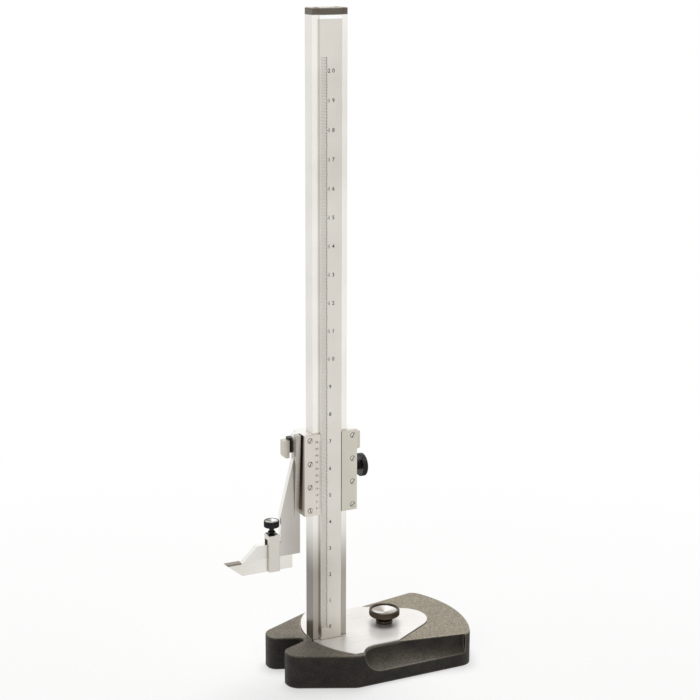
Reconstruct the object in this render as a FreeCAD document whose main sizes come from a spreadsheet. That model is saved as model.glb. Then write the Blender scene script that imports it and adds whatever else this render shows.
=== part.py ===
import FreeCAD, Part
import math
import os
import Sketcher
from FreeCAD import Placement, Rotation, Vector

# Vernier height gauge: a cast iron base with a fine adjustment, an upright
# beam, and a slider that carries a jaw, a scriber and its clamp.
#
# Frame: X along the base, scriber towards -X; the scale faces -Y; +Z up.
# The origin lies on the underside of the base, straight below the beam.
# At rest the scriber stands 104 mm above the table.

doc = FreeCAD.newDocument("HeightGauge")
sheet = doc.addObject("Spreadsheet::Sheet", "Sizes")


class Size:
    """A number together with the sheet expression that gives it."""

    def __init__(self, value, text):
        self.value = float(value)
        self.text = text

    @staticmethod
    def of(other):
        return other if isinstance(other, Size) else Size(other, repr(float(other)))

    def join(self, other, sign, value):
        return Size(value, "(%s %s %s)" % (self.text, sign, Size.of(other).text))

    def __add__(self, other):
        return self.join(other, "+", self.value + Size.of(other).value)

    def __sub__(self, other):
        return self.join(other, "-", self.value - Size.of(other).value)

    def __mul__(self, other):
        return self.join(other, "*", self.value * Size.of(other).value)

    def __truediv__(self, other):
        return self.join(other, "/", self.value / Size.of(other).value)

    def __neg__(self):
        return Size(-self.value, "(0 - %s)" % self.text)

    def root(self):
        return Size(math.sqrt(self.value), "sqrt(%s)" % self.text)

    def cosine(self):
        return Size(math.cos(math.radians(self.value)), "cos(%s)" % self.text)

    def sine(self):
        return Size(math.sin(math.radians(self.value)), "sin(%s)" % self.text)

    __radd__ = __add__
    __rmul__ = __mul__

    def __rsub__(self, other):
        return Size.of(other) - self


DIMENSIONS = {
    # Base casting
    "base_left": 49.5,
    "base_right": 139.0,
    "base_half_width": 56.8,
    "base_height": 31.0,
    "foot_half_width": 31.0,
    "flank_start": 5.6,
    "foot_corner": 13.0,
    "flank_corner": 14.0,
    "bow_radius": 105.0,
    "bow_corner": 14.0,
    "notch_depth": 28.0,
    "notch_tip": 4.8,
    "notch_mouth": 14.0,
    "notch_corner": 9.0,
    "rim_fillet": 1.4,
    "relief_depth": 1.2,
    "relief_margin": 12.0,
    # Finger recesses in the long sides
    "recess_floor": 12.3,
    "recess_depth": 13.5,
    "recess_heel": 32.0,
    "recess_fade": 54.0,
    "recess_end": 118.0,
    "recess_end_depth": 1.6,
    "recess_end_hollow": 4.0,
    # Ground cover plate
    "plate_thick": 3.0,
    "plate_sink": 1.5,
    "plate_gap": 0.5,
    "plate_big_radius": 75.0,
    "plate_big_centre": 57.5,
    "plate_end_radius": 24.0,
    "plate_end_centre": 80.5,
    "plate_end_angle": 56.6,
    "plate_edge": 53.6,
    "plate_shoulder": 56.0,
    "plate_lip": 0.9,
    "under_screw": 1.5,
    "under_head": 3.0,
    "under_well": 3.6,
    "under_seat": 22.0,
    "under_bite": 2.0,
    "ear_screw_x": 8.0,
    "ear_screw_y": 44.0,
    "end_screw_x": 92.0,
    # Beam
    "beam_half": 16.8,
    "beam_front": 9.5,
    "beam_back": 5.0,
    "land_half": 10.35,
    "land_height": 3.4,
    "beam_foot": 14.0,
    "beam_top": 599.5,
    "beam_bevel": 0.6,
    "cap_thick": 6.0,
    "cap_rim": 0.5,
    "cap_screw_out": 9.5,
    "cap_screw_front": 2.2,
    "cap_screw": 1.5,
    "cap_head": 2.9,
    "cap_screw_sink": 2.2,
    "cap_screw_bite": 8.0,
    # Rack on the back of the beam
    "tooth_module": 0.7,
    "pinion_teeth": 14.0,
    "rack_half": 4.0,
    "rack_bed": 1.5,
    "rack_pitch_plane": 4.0,
    "rack_low": 36.0,
    "rack_top_margin": 7.5,
    "tooth_play": 0.12,
    # Fine adjustment in the base
    "knob_x": 61.8,
    "cavity_left": 7.0,
    "cavity_right": 73.0,
    "cavity_half": 9.0,
    "cavity_floor": 3.8,
    "pivot_x": 26.0,
    "pivot_height": 9.5,
    "pivot_radius": 2.0,
    "lever_nose_x": 4.0,
    "lever_half": 4.6,
    "lever_depth": 6.0,
    "fork_half": 8.0,
    "fork_root": 6.5,
    "fork_thick": 4.0,
    "fork_past": 3.5,
    "fork_gap": 4.3,
    "nut_half": 4.0,
    "nut_height": 7.0,
    "trunnion_radius": 1.5,
    "spindle_radius": 3.0,
    "spindle_collar": 6.0,
    "collar_thick": 3.0,
    "knob_radius": 14.4,
    "knob_rim": 5.8,
    "knob_top": 45.6,
    "knob_neck": 8.0,
    "knob_dish": 2.6,
    "knob_grip": 2.0,
    # Slider
    "slider_half": 26.2,
    "slider_low": 154.4,
    "slider_tall": 75.6,
    "slider_back": 12.0,
    "gib_thick": 2.4,
    "scale_gap": 0.1,
    "plate_bevel": 3.0,
    "plate_bevel_drop": 0.7,
    "screw_out": 20.9,
    "screw_first_rise": 5.2,
    "screw_pitch": 21.9,
    "screw_count": 4.0,
    "screw_head": 2.5,
    "screw_head_tall": 2.0,
    "screw_sink": 1.9,
    "screw_shank": 1.5,
    "screw_long": 9.0,
    "right_screw_out": 21.5,
    "gib_screw_y": 2.2,
    "gib_screw_radius": 1.5,
    # Jaw arm
    "arm_front": 2.0,
    "arm_thick": 6.0,
    "arm_top_out": 31.8,
    "arm_top_rise": 5.5,
    "arm_groove": 1.4,
    "arm_knee_drop": 22.0,
    "arm_low_out": 45.0,
    "arm_low_height": 156.0,
    "jaw_face": 116.6,
    "tongue_top": 129.6,
    "tongue_out": 68.5,
    "tongue_tip": 81.7,
    # Scriber and its clamp
    "scriber_height": 12.6,
    "scriber_right": 34.0,
    "scriber_heel": 83.3,
    "scriber_tip": 98.7,
    "tip_edge": 0.3,
    "tip_thick": 1.6,
    "tip_long": 14.6,
    "clamp_x": 53.1,
    "clamp_half": 5.3,
    "clamp_front_wall": 3.8,
    "clamp_back_wall": 1.6,
    "clamp_floor": 2.0,
    "clamp_top": 138.5,
    "clamp_roof": 4.5,
    "insert_half": 4.2,
    "insert_sink": 1.2,
    "thumb_radius": 7.0,
    "thumb_top": 151.2,
    "thumb_thick": 5.9,
    "thumb_neck": 2.0,
    # Coarse drive, its height taken from the slider's lower end
    "pinion_height": 34.0,
    "pinion_half": 3.5,
    "shaft_radius": 2.5,
    "shaft_left": 10.0,
    "bush_radius": 4.2,
    "bush_long": 5.5,
    "bush_flange": 6.4,
    "flange_thick": 2.0,
    "drive_radius": 10.7,
    "drive_rim": 5.0,
    "drive_face": 43.3,
    "drive_neck": 4.5,
    "boss_radius": 7.6,
    "cover_half": 10.0,
    "cover_rise": 10.5,
    "cover_depth": 4.6,
    "cover_screw_x": 7.6,
    "cover_screw_z": 8.0,
    "cover_screw": 1.2,
    "cover_head": 2.1,
    "cover_screw_long": 9.4,
    # Slide lock, its pads' outer faces taken from the slider's sides
    "lock_drop": 13.5,
    "lock_bar_half": 3.0,
    "lock_bar_front": 7.2,
    "lock_bar_thick": 3.0,
    "pad_width": 5.6,
    "pad_tall": 16.5,
    "pad_front": 3.0,
    "pad_depth": 8.0,
    "pad_out": 13.4,
    "right_pad_out": 10.8,
    "right_pad_width": 4.0,
    "block_front": 4.6,
    "block_width": 6.0,
    "block_tall": 14.0,
    "pad_drop": 1.75,
    "pad_corner": 3.5,
    "shoe_left": 14.0,
    "shoe_right": 6.0,
    # Fits
    "running": 0.05,
    "press": 0.01,
    "clearance": 0.3,
}

aliases = {}
for row, (name, number) in enumerate(DIMENSIONS.items(), start=1):
    cell = "B%d" % row
    sheet.set("A%d" % row, name)
    sheet.set(cell, "%g" % number)
    sheet.setAlias(cell, name)
    aliases[name] = Size(number, "Sizes." + name)
doc.recompute()


def dim(name):
    """The size that the sheet holds under this name."""
    return aliases[name]


def bind(thing, **sizes):
    """Set properties of an object and tie each one to the sheet."""
    for name, size in sizes.items():
        size = Size.of(size)
        setattr(thing, name, size.value)
        thing.setExpression(name, size.text)


def body(label):
    part = doc.addObject("PartDesign::Body", label)
    part.Label = label
    return part


def plane_of(part, role):
    for feature in part.Origin.OriginFeatures:
        if feature.Role == role:
            return feature
    raise ValueError(role)


# Turns of the three sketch planes. A sketch on "top" has X and Y of the
# part; "front" has X and Z and looks along +Y; "side" has Y and Z.
PLANES = {"top": "XY_Plane", "front": "XZ_Plane", "side": "YZ_Plane"}


def sketch_on(part, name, plane, offset=0.0):
    """A sketch on an origin plane, moved along +Z, +Y or +X by offset."""
    sketch = part.newObject("Sketcher::SketchObject", name)
    sketch.AttachmentSupport = [(plane_of(part, PLANES[plane]), "")]
    sketch.MapMode = "FlatFace"
    offset = Size.of(offset)
    along = -offset if plane == "front" else offset
    sketch.AttachmentOffset = Placement(Vector(0, 0, along.value), Rotation())
    sketch.setExpression("AttachmentOffset.Base.z", along.text)
    return sketch


def tie(sketch, kind, first, point, size):
    """Place one coordinate of a sketch point by an expression."""
    size = Size.of(size)
    number = sketch.addConstraint(sketch_constraint(kind, first, point, size.value))
    sketch.setExpression("Constraints[%d]" % number, size.text)


def sketch_constraint(kind, first, point, value):
    return Sketcher.Constraint(kind, -1, 1, first, point, value)


def arc_between(start, end, radius, left):
    """Circle arc from start to end; left puts its centre left of travel."""
    chord = end - start
    middle = (start + end) * 0.5
    reach = math.sqrt(max(radius * radius - chord.Length ** 2 / 4.0, 0.0))
    normal = Vector(-chord.y, chord.x, 0).normalize()
    centre = middle + normal * (reach if left else -reach)
    circle = Part.Circle(centre, Vector(0, 0, 1), radius)
    first, last = (start, end) if left else (end, start)
    angles = [math.atan2(p.y - centre.y, p.x - centre.x) for p in (first, last)]
    return Part.ArcOfCircle(circle, angles[0], angles[1])


def outline(part, name, plane, points, offset=0.0):
    """A closed sketch through points (x, y); (x, y, radius, side) starts an
    arc to the next point, whose centre lies left (1) or right (-1)."""
    sketch = sketch_on(part, name, plane, offset)
    spots = [Vector(Size.of(p[0]).value, Size.of(p[1]).value, 0) for p in points]
    ends = []
    for i, point in enumerate(points):
        start, end = spots[i], spots[(i + 1) % len(points)]
        if len(point) == 2:
            sketch.addGeometry(Part.LineSegment(start, end), False)
            ends.append((1, 2))
        else:
            left = point[3] > 0
            radius = Size.of(point[2])
            sketch.addGeometry(arc_between(start, end, radius.value, left), False)
            ends.append((1, 2) if left else (2, 1))
    for i in range(len(points)):
        after = (i + 1) % len(points)
        sketch.addConstraint(Sketcher.Constraint("Coincident", i, ends[i][1], after, ends[after][0]))
    for i, point in enumerate(points):
        tie(sketch, "DistanceX", i, ends[i][0], point[0])
        tie(sketch, "DistanceY", i, ends[i][0], point[1])
        if len(point) > 2:
            radius = Size.of(point[2])
            number = sketch.addConstraint(Sketcher.Constraint("Radius", i, radius.value))
            sketch.setExpression("Constraints[%d]" % number, radius.text)
    return sketch


def rings(part, name, plane, circles, offset=0.0):
    """A sketch of circles, each given as (x, y, radius)."""
    sketch = sketch_on(part, name, plane, offset)
    for i, (x, y, radius) in enumerate(circles):
        x, y, radius = Size.of(x), Size.of(y), Size.of(radius)
        circle = Part.Circle(Vector(x.value, y.value, 0), Vector(0, 0, 1), radius.value)
        sketch.addGeometry(circle, False)
        tie(sketch, "DistanceX", i, 3, x)
        tie(sketch, "DistanceY", i, 3, y)
        number = sketch.addConstraint(Sketcher.Constraint("Radius", i, radius.value))
        sketch.setExpression("Constraints[%d]" % number, radius.text)
    return sketch


def box_points(x0, x1, y0, y1):
    return [(x0, y0), (x1, y0), (x1, y1), (x0, y1)]


def grow(part, kind, name, sketch, length, back=False):
    """Pad or pocket a sketch along its plane's +Z, +Y or +X, or back."""
    feature = part.newObject("PartDesign::" + kind, name)
    feature.Profile = sketch
    bind(feature, Length=length)
    on_front = sketch.AttachmentSupport[0][0].Role == "XZ_Plane"
    forward = on_front if not back else not on_front
    feature.Reversed = forward if kind == "Pad" else not forward
    sketch.Visibility = False
    doc.recompute()
    return feature


def pad(part, name, sketch, length, back=False):
    return grow(part, "Pad", name, sketch, length, back)


def pocket(part, name, sketch, length, back=False):
    before = part.Shape.Volume
    feature = grow(part, "Pocket", name, sketch, length, back)
    if part.Shape.Volume > before - 1e-6:
        raise ValueError("nothing cut by " + name)
    return feature


def turned(part, name, sketch, axis, kind="Revolution"):
    """Revolve a profile about the sketch's own axis, V_Axis or H_Axis."""
    feature = part.newObject("PartDesign::" + kind, name)
    feature.Profile = sketch
    feature.ReferenceAxis = (sketch, [axis])
    feature.Angle = 360.0
    doc.recompute()
    return feature


def edges_where(part, test):
    """Names of the edges whose ends and middle all pass the test."""
    names = []
    for number, edge in enumerate(part.Shape.Edges, start=1):
        first, last = edge.FirstParameter, edge.LastParameter
        spots = [edge.valueAt(first + (last - first) * share) for share in (0.0, 0.5, 1.0)]
        if all(test(spot) for spot in spots):
            names.append("Edge%d" % number)
    return names


def round_edges(part, name, test, radius, kind="Fillet"):
    tip = part.Tip
    names = edges_where(part, test)
    if not names:
        raise ValueError("no edges for " + name)
    feature = part.newObject("PartDesign::" + kind, name)
    feature.Base = (tip, names)
    bind(feature, **{"Radius" if kind == "Fillet" else "Size": radius})
    doc.recompute()
    return feature


def near(a, b, tolerance=0.02):
    return abs(a - Size.of(b).value) < tolerance


def make_base_casting():
    """Cast base: two feet beside a notch at the left, a scooped finger
    recess in each long side and a bowed right end."""
    part = body("base_casting")
    top = dim("base_height")
    pad(part, "Block", outline(part, "Plan", "top", plan_points()), top)
    cut_notch(part)
    round_plan_corners(part)
    cut_finger_recesses(part)
    seat = outline(part, "SeatPlan", "top", plate_points(dim("plate_gap")), top - dim("plate_sink"))
    pocket(part, "PlateSeat", seat, dim("plate_sink") + 1.0)
    cut_mechanism_cavity(part)
    cut_underside(part)
    cut_screw_wells(part)
    return part


def bow_start():
    """Where the bowed right end meets the long sides."""
    radius, half = dim("bow_radius"), dim("base_half_width")
    return dim("base_right") - radius + (radius * radius - half * half).root()


def plan_points():
    """Plan of the base: two feet at the left, straight flanks that widen
    from the feet, parallel long sides and a bowed right end."""
    left, half = -dim("base_left"), dim("base_half_width")
    foot, mouth = dim("foot_half_width"), dim("notch_mouth")
    near_side = [(left, -mouth), (left, -foot), (dim("flank_start"), -half)]
    far_side = [(x, -y) for x, y in reversed(near_side)]
    bow = bow_start()
    return near_side + [(bow, -half, dim("bow_radius"), 1), (bow, half)] + far_side


def cut_notch(part):
    """The open notch between the feet, narrowing to a round tip."""
    left, tip = -dim("base_left"), dim("notch_tip")
    bottom = left + dim("notch_depth")
    mouth = dim("notch_mouth")
    outside = left - 5.0
    bend = tip * 1.04
    points = [(outside, -mouth), (left, -mouth), (bottom - tip, -tip, bend, 1),
              (bottom - tip, tip), (left, mouth), (outside, mouth)]
    pocket(part, "Notch", outline(part, "NotchPlan", "top", points), dim("base_height"))


def upright(spot_x, spot_y):
    """Test for an upright edge that stands on the given point."""
    return lambda p: near(p.x, spot_x) and near(abs(p.y), spot_y)


def round_plan_corners(part):
    """Corner radii of the plan, and the soft rim round the top."""
    left = -dim("base_left")
    round_edges(part, "FootCorners", upright(left, dim("foot_half_width")), dim("foot_corner"))
    round_edges(part, "NotchCorners", upright(left, dim("notch_mouth")), dim("notch_corner"))
    flank = upright(dim("flank_start"), dim("base_half_width"))
    round_edges(part, "FlankCorners", flank, dim("flank_corner"))
    bow = upright(bow_start(), dim("base_half_width"))
    round_edges(part, "BowCorners", bow, dim("bow_corner"))
    top = dim("base_height")
    round_edges(part, "Rim", lambda p: near(p.z, top), dim("rim_fillet"))


def recess_radius():
    """Radius of the recess: upright at its lip and down to its floor line."""
    deep, drop = dim("recess_depth"), dim("base_height") - dim("recess_floor")
    return (deep * deep + drop * drop) / (2.0 * deep)


def recess_section(part, name, where, depth, radius, side):
    """Cross section of a finger recess: a hollow arc from the lip at the
    top of the casting down to the floor line in the long side. It is
    closed off outside the casting, straight above the arc's centre."""
    half, top = dim("base_half_width") * side, dim("base_height")
    floor = dim("recess_floor")
    lip = half - depth * side
    out, above = lip + radius * side, top + 4.0
    points = [(out, floor), (half, floor, radius, -side), (lip, top),
              (lip, above), (out, above)]
    return outline(part, name, "side", points, where)


def cut_finger_recesses(part):
    """A finger recess in each long side: a ball-shaped heel at the left, a
    straight stretch, and a shallow hollow that runs out towards the bow."""
    deep, radius = dim("recess_depth"), recess_radius()
    heel, fade = dim("recess_heel"), dim("recess_fade")
    for side, word in ((-1, "Near"), (1, "Far")):
        straight = recess_section(part, word + "Straight", heel, deep, radius, side)
        pocket(part, word + "Recess", straight, fade - heel)
        cut_recess_heel(part, word, heel, deep, radius, side)
        start = recess_section(part, word + "FadeStart", fade, deep, radius, side)
        chord, hollow = dim("base_height") - dim("recess_floor"), dim("recess_end_hollow")
        shallow = (chord * chord / 4.0 + hollow * hollow) / (2.0 * hollow)
        last, shoal = dim("recess_end"), dim("recess_end_depth")
        end = recess_section(part, word + "FadeEnd", last, shoal, shallow, side)
        scoop = part.newObject("PartDesign::SubtractiveLoft", word + "Fade")
        scoop.Profile = start
        scoop.Sections = [end]
        scoop.Ruled = True
        doc.recompute()


def cut_recess_heel(part, word, heel, deep, radius, side):
    """The recess's section, turned about the upright line through its
    centre: a quarter of a ball."""
    turn = recess_section(part, word + "HeelSection", heel, deep, radius, side)
    axis_at = (dim("base_half_width") - deep + radius) * side
    line = Part.LineSegment(Vector(axis_at.value, 0, 0), Vector(axis_at.value, 40, 0))
    index = turn.addGeometry(line, True)
    tie(turn, "DistanceX", index, 1, axis_at)
    tie(turn, "DistanceX", index, 2, axis_at)
    groove = part.newObject("PartDesign::Groove", word + "Heel")
    groove.Profile = turn
    groove.ReferenceAxis = (turn, ["Axis0"])
    groove.Angle = 100.0
    groove.Reversed = side > 0
    doc.recompute()


def plate_points(gap):
    """Egg-shaped plan of the ground plate, grown all round by gap: a large
    arc at the left, a hollow beside each finger recess, straight shoulders
    and a small arc at the right."""
    big, end = dim("plate_big_radius") + gap, dim("plate_end_radius") + gap
    turn = recess_radius() + dim("plate_lip") - gap
    axis = dim("base_half_width") - dim("recess_depth") + recess_radius()
    edge = dim("plate_edge") + gap
    corner = dim("plate_big_centre") - (big * big - edge * edge).root()
    fall = axis - edge
    heel, shoulder, beside = dim("recess_heel"), dim("plate_shoulder"), axis - turn
    dip = heel - (turn * turn - fall * fall).root()
    angle = dim("plate_end_angle")
    touch = dim("plate_end_centre") + end * angle.cosine()
    rise = end * angle.sine()
    return [(corner, -edge), (dip, -edge, turn, -1), (heel, -beside), (shoulder, -beside),
            (touch, -rise, end, 1), (touch, rise),
            (shoulder, beside), (heel, beside, turn, -1), (dip, edge),
            (corner, edge, big, 1)]


def make_cover_plate():
    """Ground plate that closes the mechanism and carries the knob."""
    part = body("cover_plate")
    low = dim("base_height") - dim("plate_sink")
    thick = dim("plate_thick")
    pad(part, "Plate", outline(part, "Plan", "top", plate_points(0.0), low), thick)
    pocket(part, "BeamWindow", outline(part, "BeamPlan", "top", beam_points(dim("clearance")), low), thick)
    way = dim("spindle_radius") + dim("running")
    hole = rings(part, "SpindleHole", "top", [(dim("knob_x"), 0.0, way)], low)
    pocket(part, "SpindleWay", hole, thick)
    circles = [(x, y, dim("under_screw") + dim("press")) for x, y in under_screw_spots()]
    pocket(part, "ScrewHoles", rings(part, "ScrewPlan", "top", circles, low), dim("under_bite") + 0.1)
    return part


def beam_points(gap):
    """T-shaped section of the beam in plan, grown all round by gap."""
    half, land = dim("beam_half") + gap, dim("land_half") + gap
    front = -dim("beam_front") - gap
    face = front - dim("land_height")
    back = dim("beam_back") + gap
    return [(-half, back), (-half, front), (-land, front), (-land, face),
            (land, face), (land, front), (half, front), (half, back)]


def cut_mechanism_cavity(part):
    """The beam's slideway and the lever's trough, open under the plate."""
    floor = dim("cavity_floor")
    seat = dim("base_height") - dim("plate_sink")
    way = outline(part, "SlidewayPlan", "top", beam_points(dim("running")), floor)
    pocket(part, "Slideway", way, seat - floor + 1.0)
    half = dim("cavity_half")
    points = box_points(-dim("cavity_left"), dim("cavity_right"), -half, half)
    pocket(part, "Trough", outline(part, "TroughPlan", "top", points, floor), seat - floor + 1.0)
    snug = dim("pivot_radius") + dim("press")
    pin = rings(part, "PinHole", "front", [(dim("pivot_x"), dim("pivot_height"), snug)], -pin_half())
    pocket(part, "PinBore", pin, pin_half() * 2.0)


def pin_half():
    return dim("cavity_half") + 5.0


def cut_underside(part):
    """Shallow relief on both sides of a ground bar under the beam."""
    margin = dim("relief_margin")
    bar = dim("beam_half")
    reach = dim("base_half_width") - margin * 1.6
    right = box_points(bar, bow_start() - margin, -reach, reach)
    pocket(part, "Relief", outline(part, "ReliefPlan", "top", right, 0.0), dim("relief_depth"))


def cut_screw_wells(part):
    """Stepped holes for the screws that hold the plate from beneath."""
    spots = under_screw_spots()
    wells = rings(part, "WellPlan", "top", [(x, y, dim("under_well")) for x, y in spots])
    pocket(part, "Wells", wells, dim("under_seat"))
    holes = rings(part, "WellHolePlan", "top", [(x, y, dim("under_screw") + dim("press")) for x, y in spots])
    pocket(part, "WellHoles", holes, dim("base_height"))


def make_beam():
    """Upright beam: a T section whose front land carries the scale, with a
    groove for the rack along its back."""
    part = body("beam")
    foot = dim("beam_foot")
    tall = dim("beam_top") - foot
    pad(part, "Bar", outline(part, "Section", "top", beam_points(0.0), foot), tall)
    half = dim("rack_half") + dim("running")
    groove = box_points(-half, half, dim("rack_bed"), dim("beam_back") + 1.0)
    pocket(part, "RackGroove", outline(part, "GrooveSection", "top", groove, foot), tall)
    face = -dim("beam_front") - dim("land_height")
    round_edges(part, "LandBevel", lambda p: near(abs(p.x), dim("land_half")) and near(p.y, face),
                dim("beam_bevel"), "Chamfer")
    deep = cap_screw_long() - dim("cap_thick") + dim("cap_screw_sink") + 0.5
    for word, side in (("Left", -1), ("Right", 1)):
        disc(part, word + "CapHole", "top", dim("cap_screw_out") * side, -dim("cap_screw_front"),
             dim("cap_screw") + dim("press"), dim("beam_top") - deep, deep, pocket)
    return part


def cap_screw_long():
    return dim("cap_thick") - dim("cap_screw_sink") + dim("cap_screw_bite")


def make_rack():
    """Strip in the groove of the beam, with straight-sided teeth along its
    outer face. One gap lies level with the pinion at rest."""
    module, pitch = dim("tooth_module").value, math.pi * dim("tooth_module").value
    bed, plane = dim("rack_bed").value, dim("rack_pitch_plane").value
    tip, root = plane + 0.75 * module, plane - 1.2 * module
    lean = math.tan(math.radians(20.0))
    half_gap = pitch / 4.0 + dim("tooth_play").value / 2.0
    low, high = dim("rack_low").value, (dim("beam_top") - dim("rack_top_margin")).value
    level = pinion_level().value
    first = math.ceil((low - level) / pitch + 0.5)
    last = math.floor((high - level) / pitch - 0.5)
    points = [(bed, low), (tip, low)]
    for number in range(first, last + 1):
        gap = level + number * pitch
        at_tip = half_gap + (tip - plane) * lean
        at_root = half_gap - (plane - root) * lean
        points += [(tip, gap - at_tip), (root, gap - at_root),
                   (root, gap + at_root), (tip, gap + at_tip)]
    points += [(tip, high), (bed, high)]
    half = dim("rack_half").value
    corners = [Vector(-half, y, height) for y, height in points]
    face = Part.Face(Part.makePolygon(corners + corners[:1]))
    rack = doc.addObject("Part::Feature", "rack")
    rack.Label = "rack"
    rack.Shape = face.extrude(Vector(2.0 * half, 0, 0))
    return rack


def disc(part, name, plane, x, y, radius, start, length, build=pad, hole=None):
    """A round pad or pocket about (x, y) of a plane, with an optional hole."""
    circles = [(x, y, radius)]
    if hole is not None:
        circles.append((x, y, hole))
    return build(part, name, rings(part, name + "Plan", plane, circles, start), length)


def slab(part, name, plane, box, start, length, build=pad):
    """A rectangular pad or pocket of a plane: box is (x0, x1, y0, y1)."""
    return build(part, name, outline(part, name + "Plan", plane, box_points(*box), start), length)


def make_top_cap():
    """Dark cap on the beam, with the beam's own outline."""
    part = body("top_cap")
    high = dim("beam_top")
    pad(part, "Cap", outline(part, "Plan", "top", beam_points(0.0), high), dim("cap_thick"))
    for word, side in (("Left", -1), ("Right", 1)):
        at = (dim("cap_screw_out") * side, -dim("cap_screw_front"))
        depth = dim("cap_thick") - dim("cap_screw_sink")
        disc(part, word + "Hole", "top", at[0], at[1], dim("cap_screw") + dim("press"),
             high, dim("cap_thick"), pocket)
        disc(part, word + "Seat", "top", at[0], at[1], dim("cap_head"), high + depth,
             dim("cap_screw_sink") + 1.0, pocket)
    round_edges(part, "Rim", lambda p: near(p.z, high + dim("cap_thick")) and
                not any(math.hypot(p.x - s * dim("cap_screw_out").value, p.y + dim("cap_screw_front").value)
                        < dim("cap_head").value + 0.2 for s in (-1, 1)), dim("cap_rim"), "Chamfer")
    return part


def screw_shape(head, head_tall, shank, long, slot_wide, slot_deep):
    """A slotted cheese-head screw along +Z with its seat at the origin."""
    solid = Part.makeCylinder(head, head_tall)
    rim = [edge for edge in solid.Edges if near(edge.BoundBox.ZMin, head_tall) and edge.Closed]
    solid = solid.makeChamfer(head * 0.12, rim)
    slot = Part.makeBox(2.4 * head, slot_wide, slot_deep)
    slot.translate(Vector(-1.2 * head, -slot_wide / 2.0, head_tall - slot_deep))
    stem = Part.makeCylinder(shank, long, Vector(0, 0, -long))
    return solid.cut(slot).fuse(stem)


def screws(label, head, head_tall, shank, long, places):
    """Separate like screws in one node; places are (point, direction, turn)."""
    sizes = [Size.of(n).value for n in (head, head_tall, shank, long)]
    solids = []
    for spot, direction, turn in places:
        one = screw_shape(*sizes, sizes[0] * 0.3, sizes[1] * 0.45)
        one.rotate(Vector(), Vector(0, 0, 1), turn)
        lift = Rotation(Vector(0, 0, 1), Vector(*direction))
        one.Placement = Placement(Vector(*[Size.of(n).value for n in spot]), lift).multiply(one.Placement)
        solids.append(one)
    group = doc.addObject("Part::Feature", label)
    group.Label = label
    group.Shape = Part.makeCompound(solids)
    return group


def make_cap_screws():
    level = dim("beam_top") + dim("cap_thick") - dim("cap_screw_sink")
    places = [((dim("cap_screw_out") * side, -dim("cap_screw_front"), level), (0, 0, 1), 35.0 * side)
              for side in (-1, 1)]
    return screws("cap_screws", dim("cap_head") - 0.1, dim("cap_screw_sink") - 0.3, dim("cap_screw"),
                  cap_screw_long(), places)


def make_fine_lever():
    """Rocking lever: a round nose under the beam, a pivot eye, and a fork
    that takes the trunnions of the nut."""
    part = body("fine_lever")
    level, half = dim("pivot_height"), dim("lever_half")
    nose = dim("beam_foot") - dim("running") - level
    deep = dim("lever_depth") / 2.0
    reach = dim("knob_x") - dim("fork_root")
    disc(part, "Nose", "front", dim("lever_nose_x"), level, nose, -half, half * 2.0)
    slab(part, "Bar", "front", (dim("lever_nose_x"), reach, level - deep, level + deep), -half, half * 2.0)
    wide = dim("fork_half")
    slab(part, "Crosspiece", "front", (reach - dim("fork_thick"), reach, level - deep, level + deep),
         -wide, wide * 2.0)
    end = dim("knob_x") + dim("fork_past")
    for word, start in (("Near", -wide), ("Far", dim("fork_gap"))):
        slab(part, word + "Tine", "front", (reach, end, level - deep, level + deep),
             start, wide - dim("fork_gap"))
    slot = dim("trunnion_radius") + dim("running")
    slab(part, "TrunnionSlot", "front", (dim("knob_x") - slot - 0.5, end + 1.0, level - slot, level + slot),
         -wide - 1.0, wide * 2.0 + 2.0, pocket)
    eye = dim("pivot_radius") + dim("running")
    disc(part, "Eye", "front", dim("pivot_x"), level, eye, -half - 1.0, half * 2.0 + 2.0, pocket)
    return part


def make_lever_pin():
    part = body("lever_pin")
    long = pin_half() * 2.0
    disc(part, "Pin", "front", dim("pivot_x"), dim("pivot_height"), dim("pivot_radius"), -pin_half(), long)
    return part


def make_fine_nut():
    """Nut block on the spindle, with a trunnion on each side."""
    part = body("fine_nut")
    half, tall = dim("nut_half"), dim("nut_height") / 2.0
    at, level = dim("knob_x"), dim("pivot_height")
    disc(part, "Trunnions", "front", at, level, dim("trunnion_radius"),
         -dim("fork_half"), dim("fork_half") * 2.0)
    slab(part, "Block", "front", (at - half, at + half, level - tall, level + tall), -half, half * 2.0)
    disc(part, "ThreadBore", "top", at, 0.0, dim("spindle_radius") + dim("running"),
         level - tall - 1.0, tall * 2.0 + 2.0, pocket)
    return part


def make_fine_spindle():
    """Threaded spindle under the knob, running in the plate."""
    part = body("fine_spindle")
    low = dim("cavity_floor") + dim("clearance")
    high = dim("knob_top") - dim("knob_rim") + dim("knob_grip")
    disc(part, "Stem", "top", dim("knob_x"), 0.0, dim("spindle_radius"), low, high - low)
    return part


def make_spindle_collar():
    """Collar pinned to the spindle under the plate, so it can't lift."""
    part = body("spindle_collar")
    top = dim("base_height") - dim("plate_sink") - dim("running")
    disc(part, "Ring", "top", dim("knob_x"), 0.0, dim("spindle_collar"), top - dim("collar_thick"),
         dim("collar_thick"), pad, dim("spindle_radius") + dim("press"))
    return part


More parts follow.
